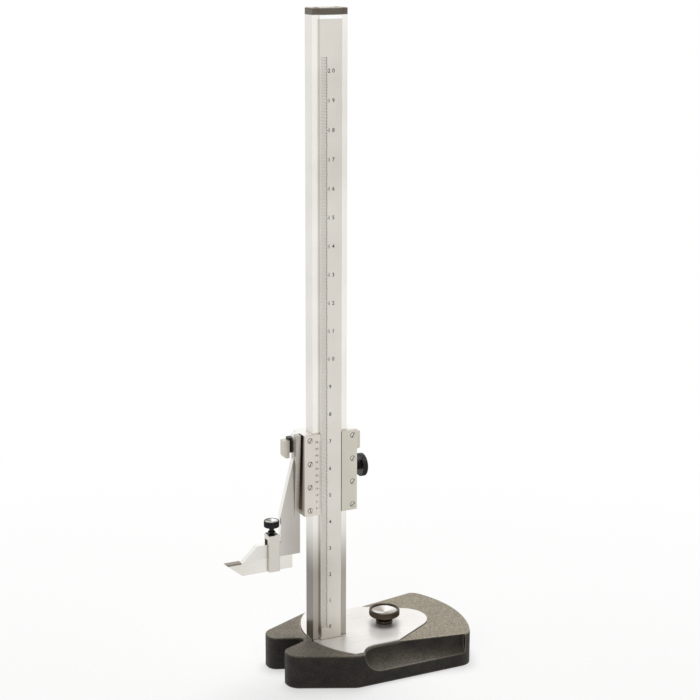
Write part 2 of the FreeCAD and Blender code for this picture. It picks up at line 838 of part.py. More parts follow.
def make_fine_knob():
    """Turned knob: a hollow-faced rim on a narrower neck, seen from above
    as a dished disc."""
    part = body("fine_knob")
    neck, radius = dim("knob_neck"), dim("knob_radius")
    foot = dim("base_height") + dim("plate_thick") - dim("plate_sink") + dim("running")
    top = dim("knob_top")
    under = top - dim("knob_rim")
    dish = dim("knob_dish")
    at = dim("knob_x")
    points = [(0.0, foot), (neck, foot), (neck, under - 1.2), (neck + 1.8, under), (radius, under),
              (radius, top), (radius - 1.3, top), (radius - 2.0, top - 0.7), (0.0, top - dish)]
    profile = outline(part, "Profile", "front", points)
    turned(part, "Turned", profile, "V_Axis")
    bore = rings(part, "BorePlan", "top", [(0.0, 0.0, dim("spindle_radius") + dim("press"))], foot - 1.0)
    pocket(part, "Bore", bore, under + dim("knob_grip") + dim("press") - foot + 1.0)
    part.Placement = Placement(Vector(at.value, 0, 0), Rotation())
    part.setExpression("Placement.Base.x", at.text)
    return part


def under_screw_spots():
    ear = (dim("ear_screw_x"), dim("ear_screw_y"))
    return [(ear[0], -ear[1]), ear, (dim("end_screw_x"), Size.of(0.0))]


def make_cover_screws():
    """Three screws that hold the plate down from beneath."""
    long = dim("base_height") - dim("plate_sink") + dim("under_bite") - dim("under_seat")
    places = [((x, y, dim("under_seat")), (0, 0, -1), 20.0) for x, y in under_screw_spots()]
    head = dim("under_head")
    return screws("cover_screws", head, head * 0.8, dim("under_screw"), long, places)


def slider_high():
    return dim("slider_low") + dim("slider_tall")


def lock_height():
    """Middle height of the lock bar."""
    return slider_high() - dim("lock_drop")


def pinion_level():
    """Height of the pinion's axis above the table."""
    return dim("slider_low") + dim("pinion_height")


def screw_heights():
    first = dim("slider_low") + dim("screw_first_rise")
    return [first + dim("screw_pitch") * number for number in range(int(dim("screw_count").value))]


def make_jaw_slider():
    """Slider frame round the beam in one piece with the jaw arm."""
    part = body("jaw_slider")
    half, low = dim("slider_half"), dim("slider_low")
    tall = dim("slider_tall")
    front = -dim("beam_front") - dim("running")
    back = dim("slider_back")
    axis_y, axis_z = pinion_axis()
    slab(part, "Frame", "top", (-half, half, front, back), low, tall)
    boss_start = dim("cover_half") + dim("clearance")
    disc(part, "BushBoss", "side", axis_y, axis_z, dim("boss_radius"), boss_start, half - boss_start)
    arm = outline(part, "ArmPlan", "front", arm_points(), -dim("arm_front"))
    pad(part, "Arm", arm, dim("arm_thick"))
    slope_arm_front(part)
    cut_channel(part)
    cut_drive_ways(part)
    cut_lock_ways(part)
    cut_slider_holes(part)
    return part


def pinion_axis():
    """Y and Z of the pinion's axis behind the rack."""
    radius = dim("tooth_module") * dim("pinion_teeth") / 2.0
    return dim("rack_pitch_plane") + radius + dim("running"), pinion_level()


def arm_points():
    """Front outline of the jaw arm: it hangs beside the slider, widens
    downwards and ends in a tongue whose underside is the jaw face."""
    inner = -dim("slider_half")
    bite = inner + 5.0
    low, high = dim("slider_low"), slider_high()
    top, out = -dim("arm_top_out"), -dim("arm_low_out")
    face, tongue = dim("jaw_face"), dim("tongue_top")
    return [(bite, high), (top, high), (top, high - dim("arm_knee_drop")), (out, dim("arm_low_height")),
            (out, tongue), (-dim("tongue_out"), tongue), (-dim("tongue_tip"), face), (inner, face),
            (inner, low + 4.0), (bite, low + 4.0)]


def slope_arm_front(part):
    """Wedge that brings the arm's front forward towards its top."""
    face, rise = -dim("arm_front"), dim("arm_top_rise")
    low, high = dim("arm_low_height") - 4.0, slider_high()
    points = [(face, low), (face, high), (face - rise, high)]
    left = -dim("arm_top_out")
    wedge = outline(part, "ArmSlopePlan", "side", points, left)
    pad(part, "ArmSlope", wedge, dim("arm_top_out") - dim("slider_half") - dim("arm_groove"))


def cut_channel(part):
    """The channel for the beam and its gib."""
    left = -dim("beam_half") - dim("running")
    right = dim("beam_half") + dim("running") * 3.0 + dim("gib_thick")
    front = -dim("beam_front") - 1.0
    low = dim("slider_low")
    slab(part, "Channel", "top", (left, right, front, dim("beam_back") + dim("running")), low,
         dim("slider_tall"), pocket)


def cut_drive_ways(part):
    """Bores for pinion, shaft and bush."""
    y, z = pinion_axis()
    wide = dim("pinion_half") + dim("clearance")
    half = dim("slider_half")
    disc(part, "PinionRoom", "side", y, z, pinion_room(), -wide, wide * 2.0, pocket)
    start = -dim("shaft_left") - dim("running")
    disc(part, "ShaftBore", "side", y, z, dim("shaft_radius") + dim("running"), start, half - start, pocket)
    disc(part, "BushBore", "side", y, z, dim("bush_radius") + dim("press"), half - dim("bush_long"),
         dim("bush_long"), pocket)


def pinion_room():
    return dim("tooth_module") * (dim("pinion_teeth") + 2.0) / 2.0 + dim("clearance")


def cut_lock_ways(part):
    """The way of the lock bar through the rear wall, and its shoe's seat."""
    gap = dim("running")
    z, half = lock_height(), dim("lock_bar_half")
    front = dim("lock_bar_front")
    wide = dim("slider_half")
    low, high = z - half - gap, z + half + gap
    slab(part, "LockWay", "side", (front - gap, front + dim("lock_bar_thick") + gap, low, high),
         -wide, wide * 2.0, pocket)
    slab(part, "ShoeSeat", "front", (-dim("shoe_left") - gap, -dim("shoe_right") + gap, low, high),
         dim("beam_back") - 0.5, front - dim("beam_back") + 1.0, pocket)


def cut_slider_holes(part):
    """Tapped holes for the front plates, the gib screws and the cover."""
    front = -dim("beam_front") - dim("running")
    deep = dim("screw_long") + dim("screw_sink") - dim("land_height") + dim("running") + 0.3
    hole = dim("screw_shank") + dim("press")
    for word, x in (("Left", -dim("screw_out")), ("Right", dim("right_screw_out"))):
        circles = [(x, z, hole) for z in screw_heights()]
        pocket(part, word + "PlateHoles", rings(part, word + "PlateHolePlan", "front", circles, front), deep)
    circles = [(-dim("gib_screw_y"), z, dim("gib_screw_radius") + dim("press")) for z in gib_screw_heights()]
    wall = dim("beam_half") + dim("gib_thick")
    pocket(part, "GibHoles", rings(part, "GibHolePlan", "side", circles, wall), dim("slider_half") - wall)
    circles = [(x, z, dim("cover_screw") + dim("press")) for x, z in cover_screw_spots()]
    bite = dim("cover_screw_long") - dim("cover_depth") + 0.3
    back = dim("slider_back")
    pocket(part, "CoverHoles", rings(part, "CoverHolePlan", "front", circles, back - bite), bite)


def gib_screw_heights():
    heights = screw_heights()
    return [(a + b) / 2.0 for a, b in zip(heights, heights[1:])]


def cover_screw_spots():
    x, z = dim("cover_screw_x"), dim("cover_screw_z")
    level = pinion_level()
    return [(x * side, level + z * rise) for side in (-1, 1) for rise in (-1, 1)]


def front_plate(label, left, right, screw_x, bevel_at):
    """A ground plate screwed to the front of the slider. It covers one
    shoulder of the beam, with its outer edge bevelled."""
    part = body(label)
    face = -dim("beam_front") - dim("land_height")
    thick = dim("land_height") - dim("running")
    low, high = dim("slider_low"), slider_high()
    slab(part, "Plate", "front", (left, right, low, high), face, thick)
    side = 1 if bevel_at.value > 0 else -1
    run, drop = dim("plate_bevel"), dim("plate_bevel_drop")
    points = [(bevel_at + 1.0 * side, face - 1.0), (bevel_at - run * side, face - 1.0),
              (bevel_at - run * side, face), (bevel_at, face + drop), (bevel_at + 1.0 * side, face + drop)]
    pocket(part, "Bevel", outline(part, "BevelPlan", "top", points, low), high - low)
    for word, radius, start, deep in (("Hole", dim("screw_shank") + dim("press"), face, thick),
                                      ("Seat", dim("screw_head") + 0.1, face, dim("screw_sink"))):
        circles = [(screw_x, z, radius) for z in screw_heights()]
        pocket(part, word, rings(part, word + "Plan", "front", circles, start), deep)
    return part


def make_vernier_plate():
    inner = -dim("land_half") - dim("scale_gap")
    outer = -dim("slider_half")
    return front_plate("vernier_plate", outer, inner, -dim("screw_out"), outer)


def make_plain_plate():
    inner = dim("land_half") + dim("scale_gap")
    outer = dim("slider_half")
    return front_plate("plain_plate", inner, outer, dim("right_screw_out"), outer)


def make_plate_screws():
    seat = -dim("beam_front") - dim("land_height") + dim("screw_sink")
    places = []
    for x in (-dim("screw_out"), dim("right_screw_out")):
        for number, z in enumerate(screw_heights()):
            places.append(((x, seat, z), (0, -1, 0), 25.0 + 47.0 * number))
    return screws("plate_screws", dim("screw_head"), dim("screw_head_tall"), dim("screw_shank"),
                  dim("screw_long"), places)


def make_gib():
    """Flat strip between the beam's side and the slider's right wall."""
    part = body("gib")
    left = dim("beam_half") + dim("running")
    slab(part, "Strip", "top", (left, left + dim("gib_thick"), -dim("beam_front"), dim("beam_back")),
         dim("slider_low"), dim("slider_tall"))
    return part


def make_gib_screws():
    """Headless slotted screws that press the gib."""
    start = dim("beam_half") + dim("gib_thick") + dim("running") * 2.0
    long = dim("slider_half") - start - 0.4
    solids = []
    radius = dim("gib_screw_radius").value
    for z in gib_screw_heights():
        spot = Vector(start.value, -dim("gib_screw_y").value, z.value)
        one = Part.makeCylinder(radius, long.value, spot, Vector(1, 0, 0))
        slot = Part.makeBox(0.8, 2.4 * radius, 0.6)
        slot.translate(spot + Vector(long.value - 0.8, -1.2 * radius, -0.3))
        solids.append(one.cut(slot))
    group = doc.addObject("Part::Feature", "gib_screws")
    group.Label = "gib_screws"
    group.Shape = Part.makeCompound(solids)
    return group


def make_brake_shoe():
    part = body("brake_shoe")
    z, half = lock_height(), dim("lock_bar_half")
    front = dim("beam_back") + dim("running")
    slab(part, "Block", "front", (-dim("shoe_left"), -dim("shoe_right"), z - half, z + half), front,
         dim("lock_bar_front") - dim("clearance") * 0.5 - front)
    return part


def make_pinion_cover():
    """Cover on the slider's back over the pinion."""
    part = body("pinion_cover")
    half, rise = dim("cover_half"), dim("cover_rise")
    y, z = pinion_axis()
    back, deep = dim("slider_back"), dim("cover_depth")
    slab(part, "Lid", "front", (-half, half, z - rise, z + rise), back, deep)
    wide = dim("pinion_half") + dim("clearance")
    disc(part, "Room", "side", y, z, pinion_room(), -wide, wide * 2.0, pocket)
    circles = [(x, at, dim("cover_screw") + dim("press")) for x, at in cover_screw_spots()]
    pocket(part, "Holes", rings(part, "HolePlan", "front", circles, back), deep)
    round_edges(part, "Corners", lambda p: near(abs(p.x), half) and near(abs(p.z - z.value), rise), 2.0)
    return part


def make_pinion_cover_screws():
    seat = dim("slider_back") + dim("cover_depth")
    places = [((x, seat, z), (0, 1, 0), 31.0 * number) for number, (x, z) in enumerate(cover_screw_spots())]
    return screws("pinion_cover_screws", dim("cover_head"), dim("cover_head") * 0.7, dim("cover_screw"),
                  dim("cover_screw_long"), places)


def make_pinion_bush():
    """Flanged bush in which the drive end of the shaft turns."""
    part = body("pinion_bush")
    y, z = pinion_axis()
    side = dim("slider_half")
    bore = dim("shaft_radius") + dim("running")
    long, thick = dim("bush_long"), dim("flange_thick")
    disc(part, "Sleeve", "side", y, z, dim("bush_radius"), side - long, long)
    disc(part, "Flange", "side", y, z, dim("bush_flange"), side, thick)
    disc(part, "Bore", "side", y, z, bore, side - long, long + thick, pocket)
    return part


def make_pinion_shaft():
    """Shaft with the pinion cut on it: involute teeth, one of them in the
    rack's gap at rest."""
    y, z = (size.value for size in pinion_axis())
    module, teeth = dim("tooth_module").value, int(dim("pinion_teeth").value)
    pitch_radius = module * teeth / 2.0
    base_radius = pitch_radius * math.cos(math.radians(20.0))
    tip_radius, root_radius = pitch_radius + module, pitch_radius - 1.15 * module
    quarter = math.pi / 2.0 / teeth - dim("tooth_play").value / 4.0 / pitch_radius

    def involute(radius):
        if radius <= base_radius:
            return 0.0
        angle = math.acos(base_radius / radius)
        return math.tan(angle) - angle

    radii = [root_radius] + [base_radius + (tip_radius - base_radius) * share / 3.0 for share in range(4)]
    points = []
    for number in range(teeth):
        middle = math.pi + 2.0 * math.pi * number / teeth
        flank = [(radius, quarter + involute(pitch_radius) - involute(radius)) for radius in radii]
        both = [(r, middle - a) for r, a in flank] + [(r, middle + a) for r, a in reversed(flank)]
        for radius, angle in both:
            points.append(Vector(0, y + radius * math.cos(angle), z + radius * math.sin(angle)))
    half = dim("pinion_half").value
    wheel = Part.Face(Part.makePolygon(points + points[:1])).extrude(Vector(2.0 * half, 0, 0))
    wheel.translate(Vector(-half, 0, 0))
    left = dim("shaft_left").value
    right = (dim("drive_face") - dim("drive_rim") * 0.5).value
    stem = Part.makeCylinder(dim("shaft_radius").value, left + right, Vector(-left, y, z), Vector(1, 0, 0))
    shaft = doc.addObject("Part::Feature", "pinion_shaft")
    shaft.Label = "pinion_shaft"
    shaft.Shape = wheel.fuse(stem)
    return shaft


def make_drive_knob():
    """Turned knob on the pinion shaft: knurled rim, neck, hollow face."""
    part = body("drive_knob")
    y, z = pinion_axis()
    face, rim = dim("drive_face"), dim("drive_rim")
    start = dim("slider_half") + dim("flange_thick") + dim("running") * 2.0
    disc(part, "Rim", "side", y, z, dim("drive_radius"), face - rim, rim)
    disc(part, "Neck", "side", y, z, dim("drive_neck"), start, face - rim - start)
    disc(part, "Hollow", "side", y, z, dim("drive_radius") - 2.0, face - 0.8, 0.8, pocket)
    disc(part, "Bore", "side", y, z, dim("shaft_radius") + dim("press"), start,
         face - rim * 0.5 - start + dim("press"), pocket)
    edge = dim("drive_radius").value
    round_edges(part, "Edges", lambda p: near(math.hypot(p.y - y.value, p.z - z.value), edge), 0.5, "Chamfer")
    return part


def left_pad_face():
    return -dim("slider_half") - dim("pad_out")


def right_pad_face():
    return dim("slider_half") + dim("right_pad_out")


def make_lock_bar():
    """Bar through the rear wall that tightens the shoe on the beam."""
    part = body("lock_bar")
    z, half = lock_height(), dim("lock_bar_half")
    left = left_pad_face() + dim("pad_width")
    right = right_pad_face() - dim("right_pad_width")
    front = dim("lock_bar_front")
    slab(part, "Bar", "side", (front, front + dim("lock_bar_thick"), z - half, z + half), left, right - left)
    return part


def make_lock_block():
    """Dark block round the bar beside the slider."""
    part = body("lock_block")
    z, half = lock_height(), dim("lock_bar_half") + dim("press")
    front, back = dim("block_front"), dim("pad_front") + dim("pad_depth")
    left = left_pad_face() + dim("pad_width")
    tall = dim("block_tall") / 2.0
    slab(part, "Block", "side", (front, back, z + 1.5 - tall, z + 1.5 + tall), left, dim("block_width"))
    bar = dim("lock_bar_front") - dim("press")
    slab(part, "BarWay", "side", (bar, bar + dim("lock_bar_thick") + dim("press") * 2.0, z - half, z + half),
         left, dim("block_width"), pocket)
    return part


def lock_pad(label, left, width):
    """Finger pad on one end of the lock bar, with a rounded lower corner."""
    part = body(label)
    low = lock_height() - dim("pad_tall") / 2.0 - dim("pad_drop")
    front = dim("pad_front")
    slab(part, "Pad", "side", (front, front + dim("pad_depth"), low, low + dim("pad_tall")), left, width)
    outer = left if left.value < 0 else left + width
    round_edges(part, "LowerCorner", lambda p: near(p.x, outer) and near(p.z, low),
                dim("pad_corner") if left.value < 0 else 1.5)
    round_edges(part, "Edges", lambda p: near(p.x, outer), 0.5)
    return part


def make_left_lock_pad():
    return lock_pad("left_lock_pad", left_pad_face(), dim("pad_width"))


def make_right_lock_pad():
    return lock_pad("right_lock_pad", right_pad_face() - dim("right_pad_width"), dim("right_pad_width"))


def make_scriber():
    """Scriber bar under the jaw face, sharpened towards its upper edge and
    notched beneath for the clamp's floor."""
    part = body("scriber")
    face = dim("jaw_face")
    low = face - dim("scriber_height")
    step = face - dim("tip_thick")
    heel, right = -dim("scriber_heel"), -dim("scriber_right")
    inner = -dim("scriber_tip") + dim("tip_long")
    points = [(slope_at(step), step), (heel, low), (right, low), (right, face), (inner, face), (inner, step)]
    pad(part, "Bar", outline(part, "Plan", "front", points, -dim("arm_front")), dim("arm_thick"))
    half = dim("clamp_half") + dim("running")
    notch = (-dim("clamp_x") - half, -dim("clamp_x") + half, low - 1.0, clamp_floor_top() + dim("running"))
    slab(part, "ClampNotch", "front", notch, -dim("arm_front"), dim("arm_thick"), pocket)
    return part


def slope_at(height):
    """X of the scriber's sloping edge at a height."""
    top = dim("jaw_face") - dim("tip_edge")
    low = dim("jaw_face") - dim("scriber_height")
    share = (top - height) / (top - low)
    return -dim("scriber_tip") + (dim("scriber_tip") - dim("scriber_heel")) * share


def make_scriber_tip():
    """Hard tip let into the top of the scriber."""
    part = body("scriber_tip")
    face = dim("jaw_face")
    step = face - dim("tip_thick")
    tip = -dim("scriber_tip")
    points = [(tip, face), (tip, face - dim("tip_edge")), (slope_at(step), step),
              (tip + dim("tip_long"), step), (tip + dim("tip_long"), face)]
    pad(part, "Tip", outline(part, "Plan", "front", points, -dim("arm_front")), dim("arm_thick"))
    return part


def clamp_floor_top():
    return dim("jaw_face") - dim("scriber_height") + dim("clamp_floor")


def make_scriber_clamp():
    """Box clamp round the jaw's tongue and the scriber."""
    part = body("scriber_clamp")
    half, middle, centre = dim("clamp_half"), -dim("clamp_x"), clamp_middle()
    low = clamp_floor_top() - dim("clamp_floor") + 0.2
    top = dim("clamp_top")
    front, back = clamp_sides()
    slab(part, "Block", "front", (middle - half, middle + half, low, top), front, back - front)
    gap = dim("running")
    window = (-dim("arm_front") - gap, dim("arm_thick") - dim("arm_front") + gap, clamp_floor_top(),
              top - dim("clamp_roof"))
    slab(part, "Window", "side", window, middle - half, half * 2.0, pocket)
    disc(part, "ScrewHole", "top", middle, centre, dim("thumb_neck") + dim("running"),
         top - dim("clamp_roof") - 0.5, dim("clamp_roof") + 1.0, pocket)
    insert = dim("insert_half") + dim("press")
    slab(part, "InsertSeat", "top", (middle - insert, middle + insert, centre - insert, centre + insert),
         top - dim("insert_sink"), dim("insert_sink") + 1.0, pocket)
    round_edges(part, "Edges", lambda p: near(abs(p.x - middle.value), half) and
                (near(p.y, front) or near(p.y, back)), 0.8)
    return part


def clamp_sides():
    face = dim("arm_front") + dim("clamp_front_wall")
    return -face, dim("arm_thick") - dim("arm_front") + dim("clamp_back_wall")


def clamp_middle():
    """Y of the clamp screw, over the middle of the tongue."""
    return dim("arm_thick") / 2.0 - dim("arm_front")


def make_clamp_insert():
    """Dark threaded insert in the clamp's top."""
    part = body("clamp_insert")
    half, middle, centre = dim("insert_half"), -dim("clamp_x"), clamp_middle()
    low, tall = dim("clamp_top") - dim("insert_sink"), dim("insert_sink") + 0.3
    slab(part, "Block", "top", (middle - half, middle + half, centre - half, centre + half), low, tall)
    disc(part, "Thread", "top", middle, centre, dim("thumb_neck") + dim("running"), low, tall, pocket)
    return part


def make_clamp_screw():
    """Thumbscrew with a hollow-faced head; its end presses the tongue."""
    part = body("clamp_screw")
    middle, y = -dim("clamp_x"), clamp_middle()
    top, head = dim("thumb_top"), dim("thumb_radius")
    start = dim("tongue_top")
    disc(part, "Stem", "top", middle, y, dim("thumb_neck"), start, top - start - 1.0)
    disc(part, "Head", "top", middle, y, head, top - dim("thumb_thick"), dim("thumb_thick"))
    disc(part, "Hollow", "top", middle, y, head - 1.4, top - 0.7, 0.7, pocket)
    rim = lambda p: near(math.hypot(p.x - middle.value, p.y - y.value), head)
    round_edges(part, "Edges", rim, 0.4, "Chamfer")
    return part


MAKERS = [
    make_base_casting, make_cover_plate, make_cover_screws, make_lever_pin, make_fine_lever, make_fine_nut,
    make_fine_spindle, make_spindle_collar, make_fine_knob, make_beam, make_rack, make_top_cap,
    make_cap_screws, make_jaw_slider, make_vernier_plate, make_plain_plate, make_plate_screws,
    make_gib, make_gib_screws, make_brake_shoe, make_pinion_cover, make_pinion_cover_screws,
    make_pinion_bush, make_pinion_shaft, make_drive_knob, make_lock_bar, make_lock_block,
    make_left_lock_pad, make_right_lock_pad, make_scriber, make_scriber_tip, make_scriber_clamp,
    make_clamp_insert, make_clamp_screw,
]

parts = [make() for make in MAKERS]
doc.recompute()

for thing in doc.Objects:
    if any(word in state for state in thing.State for word in ("Invalid", "Error")):
        raise ValueError("%s is not sound: %s" % (thing.Name, thing.State))

os.makedirs("parts", exist_ok=True)
for part in parts:
    if part.Shape.isNull() or not part.Shape.isValid():
        raise ValueError("bad shape: " + part.Label)
    part.Shape.exportStep("parts/%s.step" % part.Label)
    box = part.Shape.BoundBox
    print(part.Label, len(part.Shape.Solids), round(part.Shape.Volume, 1), [
        round(n, 2) for n in (box.XMin, box.XMax, box.YMin, box.YMax, box.ZMin, box.ZMax)])
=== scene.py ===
import math

import bmesh
import bpy
import numpy as np
from mathutils import Matrix, Quaternion, Vector


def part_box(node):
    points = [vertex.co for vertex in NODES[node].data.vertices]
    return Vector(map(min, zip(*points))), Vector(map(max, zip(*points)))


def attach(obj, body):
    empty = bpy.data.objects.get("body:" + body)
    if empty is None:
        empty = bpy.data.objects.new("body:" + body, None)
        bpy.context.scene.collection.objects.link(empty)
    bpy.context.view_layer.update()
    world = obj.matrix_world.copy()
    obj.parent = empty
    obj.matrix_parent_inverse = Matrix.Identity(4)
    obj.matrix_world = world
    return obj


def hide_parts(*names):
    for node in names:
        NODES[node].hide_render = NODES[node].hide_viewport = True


bl_info = {
    "name": "Vernier Height Gauge Dressing",
    "version": (1, 0, 0),
    "blender": (4, 5, 0),
    "location": "3D View > Sidebar > Height Gauge",
    "description": "Finishes, scales and turned knobs of a vernier height gauge",
    "category": "Object",
}

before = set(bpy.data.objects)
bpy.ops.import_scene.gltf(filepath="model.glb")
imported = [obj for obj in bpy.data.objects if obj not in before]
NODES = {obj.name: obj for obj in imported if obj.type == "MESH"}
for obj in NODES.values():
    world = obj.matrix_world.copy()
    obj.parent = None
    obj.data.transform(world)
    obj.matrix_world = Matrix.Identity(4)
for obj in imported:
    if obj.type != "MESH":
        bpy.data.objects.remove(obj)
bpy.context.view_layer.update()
MM = 0.001
INCH = 0.0254


# Small helpers: colours, nodes and meshes

def srgb(code):
    """Linear colour with alpha 1 of an sRGB hex code."""
    parts = [int(code[i:i + 2], 16) / 255.0 for i in (1, 3, 5)]
    linear = [c / 12.92 if c <= 0.04045 else ((c + 0.055) / 1.055) ** 2.4 for c in parts]
    return tuple(linear) + (1.0,)


WHITE = srgb("#ffffff")


def add(tree, kind, inputs=None, output=None, stops=(), **settings):
    """Add a node. Inputs are values, or (node, output) pairs to link, and a
    colour ramp takes its two stops as (place, colour). With an output's
    name the answer is such a pair, otherwise it's the node."""
    node = tree.nodes.new(kind)
    for name, value in settings.items():
        setattr(node, name, value)
    for name, value in (inputs or {}).items():
        if isinstance(value, tuple) and isinstance(value[0], bpy.types.Node):
            tree.links.new(value[0].outputs[value[1]], node.inputs[name])
        else:
            node.inputs[name].default_value = value
    for number, (place, colour) in enumerate(stops):
        node.color_ramp.elements[number].position = place
        node.color_ramp.elements[number].color = colour
    return (node, output) if output else node


def new_material(name):
    """An empty node material, and its tree."""
    material = bpy.data.materials.new(name)
    material.use_nodes = True
    tree = material.node_tree
    tree.nodes.clear()
    return material, tree


def surface(tree, inputs):
    """End a material's tree with a surface of these settings."""
    shader = add(tree, "ShaderNodeBsdfPrincipled", inputs, "BSDF")
    add(tree, "ShaderNodeOutputMaterial", {"Surface": shader})


def stretched(tree, scale=(1.0, 1.0, 1.0)):
    """Object coordinates scaled along each axis, so that a pattern of scale
    1 has that many repeats in a metre."""
    where = add(tree, "ShaderNodeTexCoord", output="Object")
    return add(tree, "ShaderNodeMapping", {"Vector": where, "Scale": scale}, "Vector")


def coordinate(tree, axis, source="Object"):
    """One part (X, Y or Z) of the place, or of the Normal, on the object."""
    where = add(tree, "ShaderNodeTexCoord", output=source)
    return add(tree, "ShaderNodeSeparateXYZ", {"Vector": where}, axis)


def along(tree, axis, span, low=0.0, high=1.0):
    """A value that eases from low to high as the place along an axis (X, Y
    or Z) goes from the span's start to its end."""
    return add(tree, "ShaderNodeMapRange",
               {"Value": coordinate(tree, axis), "From Min": span[0], "From Max": span[1],
                "To Min": low, "To Max": high}, "Result", interpolation_type="SMOOTHSTEP")


def region(tree, first, *others):
    """How far a place lies in all of several spans: the product of their
    values. Each span comes as the function along takes it."""
    share = along(tree, *first)
    for other in others:
        share = add(tree, "ShaderNodeMath", {0: share, 1: along(tree, *other)}, "Value",
                    operation="MULTIPLY")
    return share


def paint_node(name, material):
    """Give a CAD node one finish all over."""
    node = NODES[name]
    node.data.materials.clear()
    node.data.materials.append(material)


def quad_mesh(name, points, quads):
    """A mesh from an array of points, and one of four point numbers a face."""
    mesh = bpy.data.meshes.new(name)
    mesh.from_pydata(points.reshape(-1, 3).tolist(), [], quads.reshape(-1, 4).tolist())
    mesh.update()
    return mesh


def grid_mesh(name, points, closed=False):
    """A mesh from a grid of points (rows, columns, 3), with a face between
    each four neighbours. Where closed, the last column meets the first."""
    rows, columns = points.shape[:2]
    row, column = np.arange(rows - 1), np.arange(columns if closed else columns - 1)
    i, j = np.meshgrid(row, column, indexing="ij")
    start, below, right = i * columns, (i + 1) * columns, (j + 1) % columns
    quads = np.stack([start + j, start + right, below + right, below + j], axis=-1)
    return quad_mesh(name, points, quads)


def new_object(name, data):
    """An object in the scene that shows a mesh, a lamp or the like."""
    obj = bpy.data.objects.new(name, data)
    bpy.context.scene.collection.objects.link(obj)
    return obj


def piece(name, mesh, material, body, smooth=True):
    """Put a mesh in the scene as a piece that rides on a body."""
    obj = new_object(name, mesh)
    mesh.materials.append(material)
    if smooth:
        mesh.shade_smooth()
    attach(obj, body)
    return obj


# Finishes. A span is where along an axis a tone starts to change, and where
# the change is complete

# Spans of the painted light on the base's top, and the reach of the painted highlight along its edges
PAINTED_LIGHT_LENGTH = (-50.0 * MM, 95.0 * MM)
PAINTED_LIGHT_HEIGHT = (24.0 * MM, 30.0 * MM)
EDGE_HIGHLIGHT_REACH = 2.6 * MM


def crinkle_cast_iron(dark, light, edge_highlight):
    """Grey cast iron, sand cast and sprayed with crinkle enamel: brown grey, with a grain of about 1 mm that
    breaks up the light. Faces that look up take painted light, most of all towards the bowed end and less
    below the top's height; the walls keep the dark tone as painted shade, and a painted highlight runs along
    every edge."""
    material, tree = new_material("Crinkle enamel on cast iron")
    grain = add(tree, "ShaderNodeTexNoise", {"Vector": stretched(tree, (820.0, 820.0, 820.0)), "Scale": 1.0,
                                             "Detail": 3.0, "Roughness": 0.65}, "Fac")
    crinkle = add(tree, "ShaderNodeTexVoronoi", {"Vector": stretched(tree), "Scale": 640.0}, "Distance")
    patches = add(tree, "ShaderNodeTexNoise", {"Vector": stretched(tree, (70.0, 70.0, 110.0)), "Scale": 1.0,
                                               "Detail": 4.0}, "Fac")
    upward = add(tree, "ShaderNodeMapRange", {"Value": coordinate(tree, "Z", "Normal"), "From Min": 0.05,
                                              "From Max": 0.98}, "Result", interpolation_type="SMOOTHSTEP")
    # Painted light on faces that look up, more towards the bowed end and less below the top's height
    painted_top_light = region(tree, ("X", PAINTED_LIGHT_LENGTH, 0.42, 0.95), ("Z", PAINTED_LIGHT_HEIGHT, 0.30, 1.0))
    painted_top_light = add(tree, "ShaderNodeMath", {0: upward, 1: painted_top_light}, "Value", operation="MULTIPLY")
    blotch = add(tree, "ShaderNodeMapRange", {"Value": patches, "From Min": 0.35, "From Max": 0.75,
                                              "To Min": 0.0, "To Max": 0.15}, "Result")
    share = add(tree, "ShaderNodeMath", {0: painted_top_light, 1: blotch}, "Value", operation="ADD", use_clamp=True)
    colour = add(tree, "ShaderNodeMixRGB", {"Fac": share, "Color1": dark, "Color2": light}, "Color")
    speck = add(tree, "ShaderNodeValToRGB", {"Fac": grain}, "Color",
                ((0.34, srgb("#9a9692")), (0.64, WHITE)))
    colour = add(tree, "ShaderNodeMixRGB", {"Fac": 1.0, "Color1": colour, "Color2": speck}, "Color",
                 blend_type="MULTIPLY")
    height = add(tree, "ShaderNodeMath", {0: grain, 1: crinkle}, "Value", operation="ADD")
    bump = add(tree, "ShaderNodeBump", {"Strength": 0.7, "Distance": 0.5 * MM, "Height": height}, "Normal")
    # The edges take a painted highlight
    surface(tree, {"Base Color": worn_edges(tree, colour, edge_highlight), "Roughness": 0.55,
                   "Specular IOR Level": 0.3, "Normal": bump})
    return material


def worn_edges(tree, colour, edge_highlight):
    """Colour with a painted highlight along the edges: it turns paler where the surface softened over the
    highlight's reach turns away from the sharp one."""
    soft = add(tree, "ShaderNodeBevel", {"Radius": EDGE_HIGHLIGHT_REACH}, "Normal", samples=6)
    sharp = add(tree, "ShaderNodeNewGeometry", output="Normal")
    same = add(tree, "ShaderNodeVectorMath", {0: soft, 1: sharp}, "Value", operation="DOT_PRODUCT")
    share = add(tree, "ShaderNodeMapRange", {"Value": same, "From Min": 0.985, "From Max": 0.86,
                                             "To Min": 0.0, "To Max": 0.75}, "Result")
    return add(tree, "ShaderNodeMixRGB", {"Fac": share, "Color1": colour, "Color2": edge_highlight}, "Color")


# Reach of the painted shade in corners, and its palest tone
CORNER_SHADE_REACH = 1.2 * MM
PALE_CORNER_SHADE = "#938e88"


def in_corners(tree, colour, corner_shade):
    """Colour with painted shade in slots, gaps and corners: where little open space is left within the
    reach, the colour is multiplied by the shade's colour."""
    open_space = add(tree, "ShaderNodeAmbientOcclusion", {"Distance": CORNER_SHADE_REACH}, "AO", samples=8)
    share = add(tree, "ShaderNodeMapRange", {"Value": open_space, "From Min": 0.15, "From Max": 0.85,
                                             "To Min": 1.0, "To Max": 0.0}, "Result")
    return add(tree, "ShaderNodeMixRGB", {"Fac": share, "Color1": colour, "Color2": srgb(corner_shade)}, "Color",
               blend_type="MULTIPLY")


# Waves of the grinding lines in a metre, across the lines and along them
LINES_ACROSS = 2600.0
LINES_ALONG = 22.0


